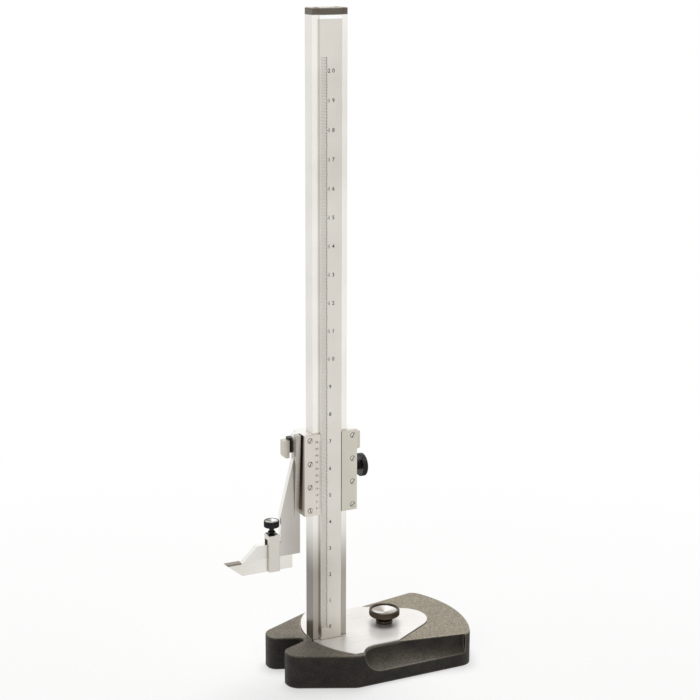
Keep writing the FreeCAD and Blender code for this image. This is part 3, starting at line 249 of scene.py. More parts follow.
def metal(tree, colour, roughness, axis, strength=0.05, corner_shade=PALE_CORNER_SHADE, bare=1.0):
    """Metal surface with fine grinding lines along X, Y or Z. Real lines are
    a few hundredths of a millimetre apart; these are 0.4 mm, to show. The
    share that isn't bare metal scatters the light as a matt film does."""
    scale = [LINES_ACROSS, LINES_ACROSS, LINES_ACROSS]
    scale["XYZ".index(axis)] = LINES_ALONG
    lines = add(tree, "ShaderNodeTexNoise", {"Vector": stretched(tree, scale), "Scale": 1.0,
                                             "Detail": 2.0}, "Fac")
    tone = add(tree, "ShaderNodeTexNoise", {"Vector": stretched(tree, (14.0, 14.0, 14.0)), "Scale": 1.0,
                                            "Detail": 3.0}, "Fac")
    drift = add(tree, "ShaderNodeValToRGB", {"Fac": tone}, "Color", ((0.3, srgb("#f1f0ee")), (0.6, WHITE)))
    colour = add(tree, "ShaderNodeMixRGB", {"Fac": 1.0, "Color1": colour, "Color2": drift}, "Color",
                 blend_type="MULTIPLY")
    rough = add(tree, "ShaderNodeMapRange",
                {"Value": lines, "From Min": 0.3, "From Max": 0.7,
                 "To Min": roughness - 0.05, "To Max": roughness + 0.06}, "Result")
    bump = add(tree, "ShaderNodeBump", {"Strength": strength, "Distance": 0.1 * MM,
                                        "Height": lines}, "Normal")
    # The colour takes painted shade in corners
    surface(tree, {"Base Color": in_corners(tree, colour, corner_shade), "Metallic": bare, "Roughness": rough,
                   "Normal": bump})


def plain_metal(name, colour, roughness, axis, strength=0.05, corner_shade=PALE_CORNER_SHADE, bare=1.0):
    """A metal of one tone, ground along an axis: chrome, steel, brass or
    carbide, by its colour."""
    material, tree = new_material(name)
    metal(tree, srgb(colour), roughness, axis, strength, corner_shade, bare)
    return material


LAND_STEP = (-9.6 * MM, -9.9 * MM)
LAND_WIDTH = (-12.0 * MM, 12.0 * MM)
# Heights where the painted highlight across the land's top fades in, and over which a painted dark
# reflection grows towards the bottom
LAND_TOP_HIGHLIGHT = (596.1 * MM, 596.4 * MM)
LOW_REFLECTION_SPAN = (150.0 * MM, 92.0 * MM)


def beam_chrome(chrome, land_tone, low_reflection_tone):
    """Chromed steel beam. The shoulders are polished nearly white and the two flanks take painted shade, a
    little greyer; the raised land with the scale is satin, and a painted highlight runs across its top end.
    Low down, a painted dark reflection turns the chrome brown grey, most on the flanks."""
    material, tree = new_material("Polished and satin chrome")
    # The flanks take painted shade: a greyer tone where the normal looks sideways
    sideways = add(tree, "ShaderNodeMath", {0: coordinate(tree, "X", "Normal")}, "Value",
                   operation="ABSOLUTE")
    # Low down, a painted dark reflection turns the flanks and shoulders brown grey
    flank = add(tree, "ShaderNodeMixRGB", {"Fac": along(tree, "Z", LOW_REFLECTION_SPAN, 0.0, 0.95),
                                           "Color1": srgb("#e6e3de"), "Color2": srgb("#77706a")}, "Color")
    shoulder = add(tree, "ShaderNodeMixRGB", {"Fac": along(tree, "Z", LOW_REFLECTION_SPAN, 0.0, 0.72),
                                              "Color1": chrome, "Color2": low_reflection_tone}, "Color")
    side = add(tree, "ShaderNodeMixRGB", {"Fac": sideways, "Color1": shoulder, "Color2": flank}, "Color")
    # Painted dark reflection on the land, low down and more towards its left
    land_low_reflection = region(tree, ("Z", LOW_REFLECTION_SPAN), ("X", LAND_WIDTH, 0.14, 0.0))
    land = add(tree, "ShaderNodeMixRGB", {"Fac": land_low_reflection, "Color1": land_tone, "Color2": low_reflection_tone}, "Color")
    # Painted highlight across the land's top end
    land = add(tree, "ShaderNodeMixRGB", {"Fac": along(tree, "Z", LAND_TOP_HIGHLIGHT), "Color1": land,
                                          "Color2": WHITE}, "Color")
    colour = add(tree, "ShaderNodeMixRGB", {"Fac": along(tree, "Y", LAND_STEP), "Color1": side,
                                            "Color2": land}, "Color")
    metal(tree, colour, 0.22, "Z", corner_shade="#dedbd7")
    return material


# Spans of the painted shade on the jaw arm and in the groove beside it
ARM_LENGTH = (-80.0 * MM, -27.0 * MM)
ARM_FACE = (-1.0 * MM, -1.9 * MM)
ARM_ROOT = (-26.1 * MM, -26.3 * MM)
GROOVE_LEFT = (-27.75 * MM, -27.6 * MM)
GROOVE_RIGHT = (-25.9 * MM, -26.1 * MM)
GROOVE_FACE = (-1.6 * MM, -1.9 * MM)
GROOVE_FOOT = (158.0 * MM, 158.6 * MM)
GROOVE_DEPTH = (-4.0 * MM, -12.0 * MM)


def slider_chrome(chrome, shade_tone, groove_shade):
    """Satin chrome on the slider's body. The jaw arm takes painted shade that deepens towards the slider,
    and the groove and the narrow flank beside it take a painted shade of dark brown grey that fades towards
    the front."""
    material, tree = new_material("Satin chrome on the slider")
    # Painted shade: on the jaw arm towards the slider, and in the groove and flank
    arm = region(tree, ("X", ARM_LENGTH, 0.06, 0.62), ("Y", ARM_FACE), ("X", ARM_ROOT))
    groove = region(tree, ("X", GROOVE_LEFT), ("X", GROOVE_RIGHT), ("Y", GROOVE_FACE), ("Z", GROOVE_FOOT),
                    ("Y", GROOVE_DEPTH, 1.0, 0.35))
    colour = add(tree, "ShaderNodeMixRGB", {"Fac": arm, "Color1": chrome, "Color2": shade_tone}, "Color")
    colour = add(tree, "ShaderNodeMixRGB", {"Fac": groove, "Color1": colour, "Color2": groove_shade}, "Color")
    metal(tree, colour, 0.26, "Z", corner_shade="#a39b92")
    return material


def domed_steel(bright, rim):
    """Screw heads of free-cutting steel, turned bright: the dome's middle is polished, and the steep rim
    takes painted shade in a darker tone, as do the slot and the seat's gap."""
    material, tree = new_material("Turned bright steel, domed")
    # Painted shade on the steep rim, picked by the normal
    steep = add(tree, "ShaderNodeMapRange", {"Value": coordinate(tree, "Y", "Normal"), "From Min": -0.93,
                                             "From Max": -0.86}, "Result")
    colour = add(tree, "ShaderNodeMixRGB", {"Fac": steep, "Color1": bright, "Color2": rim}, "Color")
    metal(tree, colour, 0.20, "Z", corner_shade="#332e2a")
    return material


FAN_SWING = 0.6


def turned_face(name, light, shade, centre):
    """Steel face turned on a lathe, with painted reflections: the light that its fine rings catch is painted
    in two opposite fans, so the tone changes as the sine of twice the angle round the centre plus the swing,
    all in radians."""
    material, tree = new_material(name)
    where = add(tree, "ShaderNodeTexCoord", output="Object")
    moved = add(tree, "ShaderNodeVectorMath", {0: where, 1: centre}, "Vector", operation="SUBTRACT")
    split = add(tree, "ShaderNodeSeparateXYZ", {"Vector": moved})
    angle = add(tree, "ShaderNodeMath", {0: (split, "Y"), 1: (split, "X")}, "Value", operation="ARCTAN2")
    double = add(tree, "ShaderNodeMath", {0: angle, 1: 2.0, 2: FAN_SWING}, "Value",
                 operation="MULTIPLY_ADD")
    wave = add(tree, "ShaderNodeMath", {0: double}, "Value", operation="SINE")
    fan = add(tree, "ShaderNodeMapRange", {"Value": wave, "From Min": -1.0, "From Max": 1.0}, "Result")
    distance = add(tree, "ShaderNodeVectorMath", {0: moved}, "Value", operation="LENGTH")
    rings = add(tree, "ShaderNodeTexNoise", {"W": distance, "Scale": 2400.0}, "Fac", noise_dimensions="1D")
    colour = add(tree, "ShaderNodeValToRGB", {"Fac": fan}, "Color", ((0.15, shade), (0.9, light)))
    bump = add(tree, "ShaderNodeBump", {"Strength": 0.08, "Distance": 0.1 * MM, "Height": rings}, "Normal")
    surface(tree, {"Base Color": in_corners(tree, colour, PALE_CORNER_SHADE), "Metallic": 1.0, "Roughness": 0.2,
                   "Normal": bump})
    return material


def black_oxide(name, base, worn, roughness):
    """Free-cutting steel, turned and then blackened or bronzed in hot salts: a matt oxide that mirrors
    little, with faint turning marks, and crests that are worn paler."""
    material, tree = new_material(name)
    marks = add(tree, "ShaderNodeTexNoise", {"Vector": stretched(tree, (2200.0, 2200.0, 2200.0)),
                                             "Scale": 1.0, "Detail": 2.0}, "Fac")
    colour = add(tree, "ShaderNodeValToRGB", {"Fac": marks}, "Color", ((0.40, base), (0.95, worn)))
    rough = add(tree, "ShaderNodeMapRange",
                {"Value": marks, "From Min": 0.3, "From Max": 0.7,
                 "To Min": roughness - 0.04, "To Max": roughness + 0.08}, "Result")
    surface(tree, {"Base Color": colour, "Metallic": 0.0, "Roughness": rough, "Specular IOR Level": 0.25})
    return material


def engraver_ink():
    """Black engraver's wax rubbed into etched lines: matte and dark."""
    material, tree = new_material("Engraver's black wax")
    specks = add(tree, "ShaderNodeTexNoise", {"Vector": stretched(tree), "Scale": 3000.0}, "Fac")
    colour = add(tree, "ShaderNodeValToRGB", {"Fac": specks}, "Color",
                 ((0.3, srgb("#1c1a18")), (0.8, srgb("#3c3935"))))
    surface(tree, {"Base Color": colour, "Roughness": 0.6})
    return material


# Turned pieces

# A knurl cuts into the points that are no farther than its reach from the rim
KNURL_DEPTH = 0.30 * MM
KNURL_REACH = 0.1 * MM


def soften(points, radius, steps=4):
    """Round each inner corner of an open profile. Each corner point is
    replaced by a parabola between points at radius before and after it,
    with one more point beside each end to hold the flats straight."""
    points = [np.array(p, dtype=float) for p in points]
    out = [points[0]]
    for before, corner, after in zip(points, points[1:], points[2:]):
        back, ahead = before - corner, after - corner
        reach = min(radius, 0.4 * np.linalg.norm(back), 0.4 * np.linalg.norm(ahead))
        back, ahead = back / np.linalg.norm(back), ahead / np.linalg.norm(ahead)
        start, end = corner + back * reach, corner + ahead * reach
        out.append(corner + back * reach * 1.2)
        for t in np.linspace(0.0, 1.0, steps + 1):
            out.append((1 - t) ** 2 * start + 2 * t * (1 - t) * corner + t ** 2 * end)
        out.append(corner + ahead * reach * 1.2)
    out.append(points[-1])
    return np.array(out)


def turned_mesh(name, profile, centre, axis, columns, teeth=0, knurl=(0.0, 0.0), rim=0.0):
    """Surface of revolution. A profile point (r, h) turns through the angle
    a to centre + r cos(a) u + r sin(a) v + h axis. Between the two knurl
    heights, where r is next to the rim's radius, r shrinks by the knurl's
    depth times the height of a wave of that many teeth, to the power 0.8."""
    axis = np.array(axis, dtype=float)
    u = np.array([axis[1], axis[2], axis[0]])
    v = np.cross(axis, u)
    angle = np.linspace(0.0, 2.0 * math.pi, columns, endpoint=False)
    radius = np.repeat(profile[:, :1], columns, axis=1)
    height = np.repeat(profile[:, 1:], columns, axis=1)
    if teeth:
        wave = 0.5 - 0.5 * np.cos(teeth * angle)
        low, high = knurl
        inside = (profile[:, 1] > low) & (profile[:, 1] < high) & (abs(profile[:, 0] - rim) < KNURL_REACH)
        radius = radius - inside[:, None] * KNURL_DEPTH * wave[None, :] ** 0.8
    ring = np.cos(angle)[:, None] * u + np.sin(angle)[:, None] * v
    points = np.array(centre) + radius[:, :, None] * ring[None] + height[:, :, None] * axis
    mesh = grid_mesh(name, points, closed=True)
    fix_normals(mesh)
    return mesh


def fix_normals(mesh):
    """Merge the points that coincide and turn all faces outwards."""
    work = bmesh.new()
    work.from_mesh(mesh)
    bmesh.ops.remove_doubles(work, verts=work.verts, dist=1e-7)
    bmesh.ops.recalc_face_normals(work, faces=work.faces)
    work.to_mesh(mesh)
    work.free()


def dish_profile(radius, top, depth):
    """Hollow face: from the rim inwards the height falls as a cone with a
    rounded middle, h = top - depth * (1 - (r / radius) ** 1.4)."""
    r = np.linspace(radius, 0.0, 24)
    return np.stack([r, top - depth * (1.0 - (r / radius) ** 1.4)], axis=1) * MM


TOOTH_COLUMNS = 5
FACE_COLUMNS = 160


def knurled_knob(name, outer, face, centre, axis, pitch, knurl, rim, body, finishes):
    """A knob in two pieces, its knurled body and its hollow face, each with
    its own finish. The knurl runs between two heights, at the rim's radius,
    with as many whole teeth as the pitch allows."""
    body_finish, face_finish = finishes
    teeth = int(2.0 * math.pi * rim / pitch)
    shape = turned_mesh(name, outer, centre, axis, teeth * TOOTH_COLUMNS, teeth, knurl, rim)
    knob = piece(name, shape, body_finish, body)
    disc = turned_mesh(name + "_face", face, centre, axis, FACE_COLUMNS)
    piece(name + "_face", disc, face_finish, body)
    return knob


# Marks

MARK_LIFT = 0.02 * MM
DIGIT_FONT_SHARE = 0.70
STROKE_SHARE = 0.02


def bar_mesh(name, x, y, z, length, width):
    """Level lines as thin bars on a face that looks along -Y. The corners
    of each are (x - or + length / 2, y, z - or + width / 2)."""
    x, z, length, width = (value[:, None] for value in np.broadcast_arrays(x, z, length, width))
    corners_x = x + length * [-0.5, 0.5, 0.5, -0.5]
    corners_z = z + width * [-0.5, -0.5, 0.5, 0.5]
    corners = np.stack([corners_x, np.full_like(corners_x, y), corners_z], axis=-1)
    return quad_mesh(name, corners, np.arange(corners_x.size))


def text_mesh(text, height, spacing):
    """A number as a flat mesh, centred, on the XY plane, with strokes as
    thick as an engraving cutter makes them."""
    curve = bpy.data.curves.new("number", "FONT")
    curve.body = text
    curve.size = height / DIGIT_FONT_SHARE
    curve.offset = height * STROKE_SHARE
    curve.space_character = spacing
    curve.align_x = "CENTER"
    curve.align_y = "CENTER"
    curve.resolution_u = 3
    holder = new_object("number", curve)
    mesh = bpy.data.meshes.new_from_object(holder)
    bpy.data.objects.remove(holder)
    bpy.data.curves.remove(curve)
    return mesh


def numbers_mesh(name, labels, y, height, spacing):
    """Numbers on a face that looks along -Y: each label is (text, x, z)."""
    work = bmesh.new()
    for text, x, z in labels:
        mesh = text_mesh(text, height, spacing)
        mesh.transform(Matrix.Translation((x, y, z)) @ Matrix.Rotation(math.radians(90.0), 4, "X"))
        work.from_mesh(mesh)
        bpy.data.meshes.remove(mesh)
    out = bpy.data.meshes.new(name)
    work.to_mesh(out)
    work.free()
    return out


# Settings

def size_setting(name, description, default):
    """A size property, in metres."""
    return bpy.props.FloatProperty(name=name, description=description, default=default, unit="LENGTH")


def colour_setting(name, description, code):
    """A colour property whose default is an sRGB hex code."""
    return bpy.props.FloatVectorProperty(name=name, description=description, subtype="COLOR", size=3,
                                         min=0.0, max=1.0, default=srgb(code)[:3])


class HeightGaugeSettings(bpy.types.PropertyGroup):
    """Sizes and colours of the scales, knobs and finishes."""

    scale_zero: size_setting("Scale zero", "Height of the beam's zero line", 0.0444)
    scale_inches: bpy.props.IntProperty(name="Scale length", description="Whole inches on the beam",
                                        default=20)
    vernier_zero: size_setting("Vernier zero", "Height of the vernier's zero line", 0.1610)
    vernier_length: size_setting("Vernier length", "Length of its 50 divisions", 2.45 * INCH)
    line_width: size_setting("Line width", "Width of an engraved line", 0.00018)
    line_end: size_setting("Line end", "Width of the deeper end of a beam line", 0.00068)
    digit_height: size_setting("Digit height", "Height of the beam's numbers", 0.0034)
    knurl_pitch: size_setting("Knurl pitch", "Width of one tooth of a knurled rim", 0.0011)
    # The enamel's light tone is painted light on the base's top, against the dark tone that its walls keep
    # as painted shade; the edge tone is a painted highlight
    iron_dark: colour_setting("Enamel, dark", "Deep tone of the base's walls", "#28231f")
    iron_light: colour_setting("Enamel, light", "Rubbed tone of the base's top", "#ada491")
    iron_edge: colour_setting("Enamel, edges", "Tone of the base's worn edges", "#b3aa9a")
    chrome: colour_setting("Chrome", "Tone of the polished chrome", "#f2f0eb")
    land_chrome: colour_setting("Scale land", "Tone of the satin land that carries the scale", "#dcd8d0")
    # The dulled chrome is a painted dark reflection low on the beam and painted shade on the jaw arm
    shaded_chrome: colour_setting("Dulled chrome", "Brown grey of the dulled flanks", "#857c71")
    knob_black: colour_setting("Knob black", "Tone of the blackened steel", "#0c0c0d")


def settings():
    """The values that the panel shows."""
    return bpy.context.scene.height_gauge


def rgba(colour):
    """A colour property as a tuple with alpha 1."""
    return tuple(colour) + (1.0,)


SHARED_MATERIALS = {}


def shared_material(key, make):
    """A finish that several pieces share, made when it's first asked for."""
    if key not in SHARED_MATERIALS:
        SHARED_MATERIALS[key] = make()
    return SHARED_MATERIALS[key]


def ink():
    """The wax in all engraved lines and numbers."""
    return shared_material("ink", engraver_ink)


def black():
    """The blackened steel of the knobs and small fittings."""
    return shared_material("black", lambda: black_oxide("Blackened steel", rgba(settings().knob_black),
                                                        srgb("#3a3734"), 0.26))


def gunmetal():
    """Turned steel, blued to a brown gunmetal and polished: it mirrors the white surroundings in a deep
    brown grey, with painted shade in the knurling."""
    return plain_metal("Polished gunmetal blue", "#4c433b", 0.14, "Z", strength=0.03, corner_shade="#3a3632")


def fan_face(name, node, shade):
    """Turned steel with painted reflection fans for the face of a knob, round the middle of its node."""
    low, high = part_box(node)
    middle = tuple((a + b) / 2.0 for a, b in zip(low, high))
    return turned_face("Turned steel face, " + name, srgb("#f4f2ee"), srgb(shade), middle)


# Operators: one for each piece or group of like pieces

def operator(cls):
    """Give a class the options that all the operators share."""
    cls.bl_options = {"REGISTER", "UNDO"}
    return cls


@operator
class GAUGE_OT_base(bpy.types.Operator):
    """Enamel the base casting and grind its cover plate"""

    bl_idname = "gauge.base"
    bl_label = "Base Finishes"

    def execute(self, context):
        s = settings()
        enamel = crinkle_cast_iron(rgba(s.iron_dark), rgba(s.iron_light), rgba(s.iron_edge))
        paint_node("base_casting", enamel)
        paint_node("cover_plate", ground_plate())
        return {"FINISHED"}


def ground_plate():
    """Low carbon steel, surface ground: flat and pale, with straight
    grinding lines along X. It scatters much of the light, so that what
    stands on it throws a shadow as well as a soft reflection."""
    return plain_metal("Surface ground steel", "#efece8", 0.32, "X", strength=0.006, bare=0.5)


@operator
class GAUGE_OT_metals(bpy.types.Operator):
    """Chrome the beam, slider, plates and scriber, and finish small steel"""

    bl_idname = "gauge.metals"
    bl_label = "Metal Finishes"

    def execute(self, context):
        s = settings()
        shade = rgba(s.shaded_chrome)
        paint_node("beam", beam_chrome(rgba(s.chrome), rgba(s.land_chrome), shade))
        # The third colour is the groove's painted shade
        paint_node("jaw_slider", slider_chrome(rgba(s.chrome), shade, srgb("#8f867c")))
        # Colours given for corners below are painted shade
        paint_node("vernier_plate", plain_metal("Satin chrome, scale plate", "#dcd5cd", 0.27, "Z"))
        paint_node("plain_plate", plain_metal("Satin chrome, plain plate", "#cfcabe", 0.27, "Z",
                                              corner_shade="#c9c4ba"))
        paint_node("scriber", plain_metal("Satin chrome, level grain", "#ece9e2", 0.26, "X"))
        paint_node("scriber_clamp", plain_metal("Satin chrome, upright grain", "#d6d1c9", 0.27, "Z"))
        pads = plain_metal("Satin chrome on the lock pads", "#cdc7bc", 0.30, "Z")
        steel = plain_metal("Turned bright steel", "#d9d6d1", 0.22, "Y", corner_shade="#4f4a45")
        brass = plain_metal("Turned brass", "#c9a55c", 0.30, "Y")
        for name in ("left_lock_pad", "right_lock_pad"):
            paint_node(name, pads)
        for name in ("cover_screws", "lever_pin", "fine_lever", "fine_nut", "fine_spindle", "spindle_collar",
                     "rack", "gib", "gib_screws", "pinion_cover", "pinion_cover_screws", "pinion_shaft",
                     "lock_bar"):
            paint_node(name, steel)
        for name in ("brake_shoe", "pinion_bush"):
            paint_node(name, brass)
        for name in ("lock_block", "clamp_insert", "cap_screws"):
            paint_node(name, black())
        paint_node("top_cap", black_oxide("Bronzed steel", srgb("#a69b8f"), srgb("#c0b6aa"), 0.42))
        paint_node("scriber_tip", plain_metal("Ground carbide", "#8d857b", 0.38, "X"))
        return {"FINISHED"}


# The slots' turns in degrees, from the lowest screw up: left column, then right
SCREW_SLOTS = (14.0, -32.0, -26.0, -38.0, -58.0, -40.0, -35.0, -30.0)
COLUMN_SCREWS = 4
CREASE = math.radians(35.0)
HEAD_RADIUS = 2.5 * MM
# Heights over a head's seat, and the seat's own place behind the CAD heads' front
HEAD_RISE = 0.75 * MM
HEAD_EDGE = 0.15 * MM
SLOT_FLOOR = -0.55 * MM
HEAD_FOOT = -1.85 * MM
HEAD_SEAT = 0.1 * MM
# Half the slot's width, as a share of the head's radius
SLOT_HALF = 0.15


@operator
class GAUGE_OT_plate_screws(bpy.types.Operator):
    """Turn the domed and slotted screws that hold the slider's two plates"""

    bl_idname = "gauge.plate_screws"
    bl_label = "Plate Screws"

    def execute(self, context):
        low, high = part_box("plate_screws")
        first = low[2] + HEAD_RADIUS
        pitch = (high[2] - low[2] - 2.0 * HEAD_RADIUS) / (COLUMN_SCREWS - 1)
        columns = (low[0] + HEAD_RADIUS, high[0] - HEAD_RADIUS)
        spots = [(x, first + pitch * number) for x in columns for number in range(COLUMN_SCREWS)]
        work = bmesh.new()
        for (x, z), turn in zip(spots, SCREW_SLOTS):
            head = slotted_head(math.radians(turn))
            head.transform(Matrix.Translation((x, low[1] + HEAD_SEAT, z)))
            work.from_mesh(head)
            bpy.data.meshes.remove(head)
        mesh = bpy.data.meshes.new("plate_screw_heads")
        work.to_mesh(mesh)
        work.free()
        fix_normals(mesh)
        # The second colour is the painted shade on the heads' steep rims
        finish = domed_steel(srgb("#d6d2cb"), srgb("#7d766e"))
        heads = piece("plate_screw_heads", mesh, finish, "slider")
        mesh.set_sharp_from_angle(angle=CREASE)
        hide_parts("plate_screws")
        return {"FINISHED"}


def slotted_head(turn):
    """Domed head that looks along -Y, about the middle of its seat. Lines
    run along the slot at distances across from it; each is a chord of the
    head's circle, and its height is edge + rise * (1 - (r / radius) ** 2),
    or the slot's floor for the lines between the slot's two walls. The
    chords' ends are carried down to the foot and closed there."""
    outer = np.array([1.0, 0.985, 0.94, 0.85, 0.70, 0.52, 0.34, SLOT_HALF])
    across = np.concatenate([-outer, [-SLOT_HALF, 0.0, SLOT_HALF], outer[::-1]]) * HEAD_RADIUS
    sunk = np.zeros(len(across), dtype=bool)
    sunk[len(outer):len(outer) + 3] = True
    share = np.concatenate([[0.0, -1.0], np.linspace(-1.0, 1.0, 17), [1.0, 0.0]])
    along_slot = np.sqrt(HEAD_RADIUS ** 2 - across ** 2)[:, None] * share
    square = (across[:, None] ** 2 + along_slot ** 2) / HEAD_RADIUS ** 2
    height = np.where(sunk[:, None], SLOT_FLOOR, HEAD_RISE * (1.0 - square) + HEAD_EDGE)
    height[:, [0, 1, -2, -1]] = HEAD_FOOT
    across = np.repeat(across[:, None], len(share), axis=1)
    x = math.cos(turn) * across - math.sin(turn) * along_slot
    z = math.sin(turn) * across + math.cos(turn) * along_slot
    return grid_mesh("head", np.stack([x, -height, z], axis=-1))


# Beam lines start at one left edge. The whole, half and tenth inches are
# longer than the lines between them, and each line ends in a deeper dot. The
# rest is what the scale has above its last number, in inches
LINES_PER_INCH = 20
BEAM_LEFT = -10.0 * MM
INCH_LINE = 5.8 * MM
HALF_LINE = 5.5 * MM
TENTH_LINE = 5.1 * MM
SHORT_LINE = 4.7 * MM
DOT_LENGTH = 0.9 * MM
SCALE_REST = 0.45
BEAM_NUMBERS_LEFT = -1.95 * MM
DIGIT_HALF = 0.85 * MM
BEAM_SPACING = 1.7


@operator
class GAUGE_OT_beam_scale(bpy.types.Operator):
    """Engrave the beam: a line every 0.050 inch and a number every inch"""

    bl_idname = "gauge.beam_scale"
    bl_label = "Beam Scale"

    def execute(self, context):
        s = settings()
        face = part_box("beam")[0][1] - MARK_LIFT
        index = np.arange(int(round((s.scale_inches + SCALE_REST) * LINES_PER_INCH)) + 1)
        z = s.scale_zero + index * INCH / LINES_PER_INCH
        long = np.select([index % LINES_PER_INCH == 0, index % 10 == 0, index % 2 == 0],
                         [INCH_LINE, HALF_LINE, TENTH_LINE], SHORT_LINE)
        middle = np.concatenate([BEAM_LEFT + long / 2, BEAM_LEFT + long + DOT_LENGTH / 2])
        lines = bar_mesh("beam_lines", middle, face, np.tile(z, 2),
                         np.concatenate([long, np.full_like(long, DOT_LENGTH)]),
                         np.repeat([s.line_width, s.line_end], len(z)))
        piece("beam_lines", lines, ink(), "column", smooth=False)
        labels = [(str(n), BEAM_NUMBERS_LEFT + DIGIT_HALF * len(str(n)), s.scale_zero + n * INCH)
                  for n in range(s.scale_inches + 1)]
        digits = numbers_mesh("beam_numbers", labels, face, s.digit_height, BEAM_SPACING)
        piece("beam_numbers", digits, ink(), "column", smooth=False)
        return {"FINISHED"}


# Vernier lines end at the plate's right edge, less the inset, and its numbers'
# middles stand at one distance from there
DIVISIONS = 50
VERNIER_INSET = 0.15 * MM
FIFTH_LINE = 2.3 * MM
VERNIER_LINE = 1.5 * MM
VERNIER_NUMBERS = 3.9 * MM
VERNIER_DIGIT = 1.9 * MM
VERNIER_SPACING = 1.15


@operator
class GAUGE_OT_vernier(bpy.types.Operator):
    """Engrave the vernier: 50 divisions over 2.45 inches, numbered by fives"""

    bl_idname = "gauge.vernier"
    bl_label = "Vernier Scale"

    def execute(self, context):
        s = settings()
        low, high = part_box("vernier_plate")
        face, right = low[1] - MARK_LIFT, high[0] - VERNIER_INSET
        index = np.arange(DIVISIONS + 1)
        z = s.vernier_zero + index * s.vernier_length / DIVISIONS
        long = np.where(index % 5 == 0, FIFTH_LINE, VERNIER_LINE)
        lines = bar_mesh("vernier_lines", right - long / 2, face, z, long, s.line_width)
        piece("vernier_lines", lines, ink(), "slider", smooth=False)
        labels = [(str(n), right - VERNIER_NUMBERS, z[n]) for n in index[::5]]
        digits = numbers_mesh("vernier_numbers", labels, face, VERNIER_DIGIT, VERNIER_SPACING)
        piece("vernier_numbers", digits, ink(), "slider", smooth=False)
        return {"FINISHED"}


# The knobs' profiles are (radius, height) in millimetres, from the foot's
# middle out and up, over the knurled rim, and in to the middle of the face

@operator
class GAUGE_OT_fine_knob(bpy.types.Operator):
    """Turn the fine adjustment knob: necked, knurled, with a hollow face"""

    bl_idname = "gauge.fine_knob"
    bl_label = "Fine Adjustment Knob"

    def execute(self, context):
        low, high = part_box("fine_knob")
        centre = ((low[0] + high[0]) / 2, 0.0, 0.0)
        r, foot, top = (high[0] - low[0]) / 2 / MM, low[2] / MM, high[2] / MM
        under = top - 5.8
        outer = soften([(0.0, foot), (7.0, foot), (8.0, foot + 0.8), (8.0, foot + 2.6), (5.6, foot + 3.4),
                        (5.6, under - 1.0), (7.6, under), (r - 0.4, under), (r, under + 0.5),
                        (r, top - 0.7), (r - 0.6, top), (r - 1.9, top), (r - 2.5, top - 0.7),
                        (r - 2.8, top - 3.6), (0.0, top - 3.6)], 0.25) * MM
        face = dish_profile(r - 2.65, top - 1.5, 1.7)
        knob = knurled_knob("fine_knob_turned", outer, face, centre, (0, 0, 1), settings().knurl_pitch,
                            ((under + 0.7) * MM, (top - 0.9) * MM), r * MM, "fine_drive",
                            (gunmetal(), fan_face("fine knob", "fine_knob", "#b0a89e")))
        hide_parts("fine_knob")
        return {"FINISHED"}


@operator
class GAUGE_OT_drive_knob(bpy.types.Operator):
    """Turn the coarse drive knob on the slider's right side"""

    bl_idname = "gauge.drive_knob"
    bl_label = "Coarse Drive Knob"

    def execute(self, context):
        low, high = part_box("drive_knob")
        centre = (0.0, (low[1] + high[1]) / 2, (low[2] + high[2]) / 2)
        r, start, end = (high[2] - low[2]) / 2 / MM, low[0] / MM, high[0] / MM
        rim = end - 5.0
        outer = soften([(0.0, start), (4.5, start), (4.5, rim - 0.6), (5.4, rim), (r - 0.5, rim),
                        (r, rim + 0.5), (r, end - 0.6), (r - 0.5, end), (r - 1.3, end),
                        (r - 1.6, end - 0.5), (r - 1.9, end - 2.2), (0.0, end - 2.2)], 0.25) * MM
        face = dish_profile(r - 1.55, end - 0.5, 1.2)
        knob = knurled_knob("drive_knob_turned", outer, face, centre, (1, 0, 0), settings().knurl_pitch,
                            ((rim + 0.7) * MM, (end - 0.8) * MM), r * MM, "coarse_drive",
                            (black(), black()))
        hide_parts("drive_knob")
        return {"FINISHED"}


# Height of the collar on the stem, in millimetres, and the share of the other
# knobs' pitch that the finer knurl has
STEM_COLLAR = 139.3
THUMB_PITCH_SHARE = 0.8


@operator
class GAUGE_OT_clamp_screw(bpy.types.Operator):
    """Turn the clamp's thumbscrew: knurled head, neck and stem"""

    bl_idname = "gauge.clamp_screw"
    bl_label = "Clamp Thumbscrew"

    def execute(self, context):
        low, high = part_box("clamp_screw")
        centre = ((low[0] + high[0]) / 2, (low[1] + high[1]) / 2, 0.0)
        r, foot, top = (high[0] - low[0]) / 2 / MM, low[2] / MM, high[2] / MM
        under = top - 5.9
        outer = soften([(0.0, foot), (2.0, foot), (2.0, STEM_COLLAR), (3.4, STEM_COLLAR + 0.7),
                        (3.4, STEM_COLLAR + 1.5), (2.2, STEM_COLLAR + 2.7), (2.2, under - 0.8),
                        (3.6, under), (r - 0.4, under), (r, under + 0.4), (r, top - 0.5),
                        (r - 0.4, top), (r - 0.9, top), (r - 1.15, top - 0.4), (r - 1.4, top - 1.8),
                        (0.0, top - 1.8)], 0.2) * MM
        face = dish_profile(r - 1.1, top - 0.4, 1.0)
        knob = knurled_knob("clamp_screw_turned", outer, face, centre, (0, 0, 1),
                            settings().knurl_pitch * THUMB_PITCH_SHARE,
                            ((under + 0.6) * MM, (top - 0.7) * MM), r * MM, "thumbscrew",
                            (black(), fan_face("thumbscrew", "clamp_screw", "#8f8981")))
        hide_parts("clamp_screw")
        return {"FINISHED"}


@operator
class GAUGE_OT_stage(bpy.types.Operator):
    """Set the pale floor, the soft lamps, the white surroundings and the camera"""

    bl_idname = "gauge.stage"
    bl_label = "Stage"

    def execute(self, context):
        make_floor()
        make_world()
        make_lamps()
        make_camera()
        context.scene.view_settings.view_transform = "Standard"
        return {"FINISHED"}


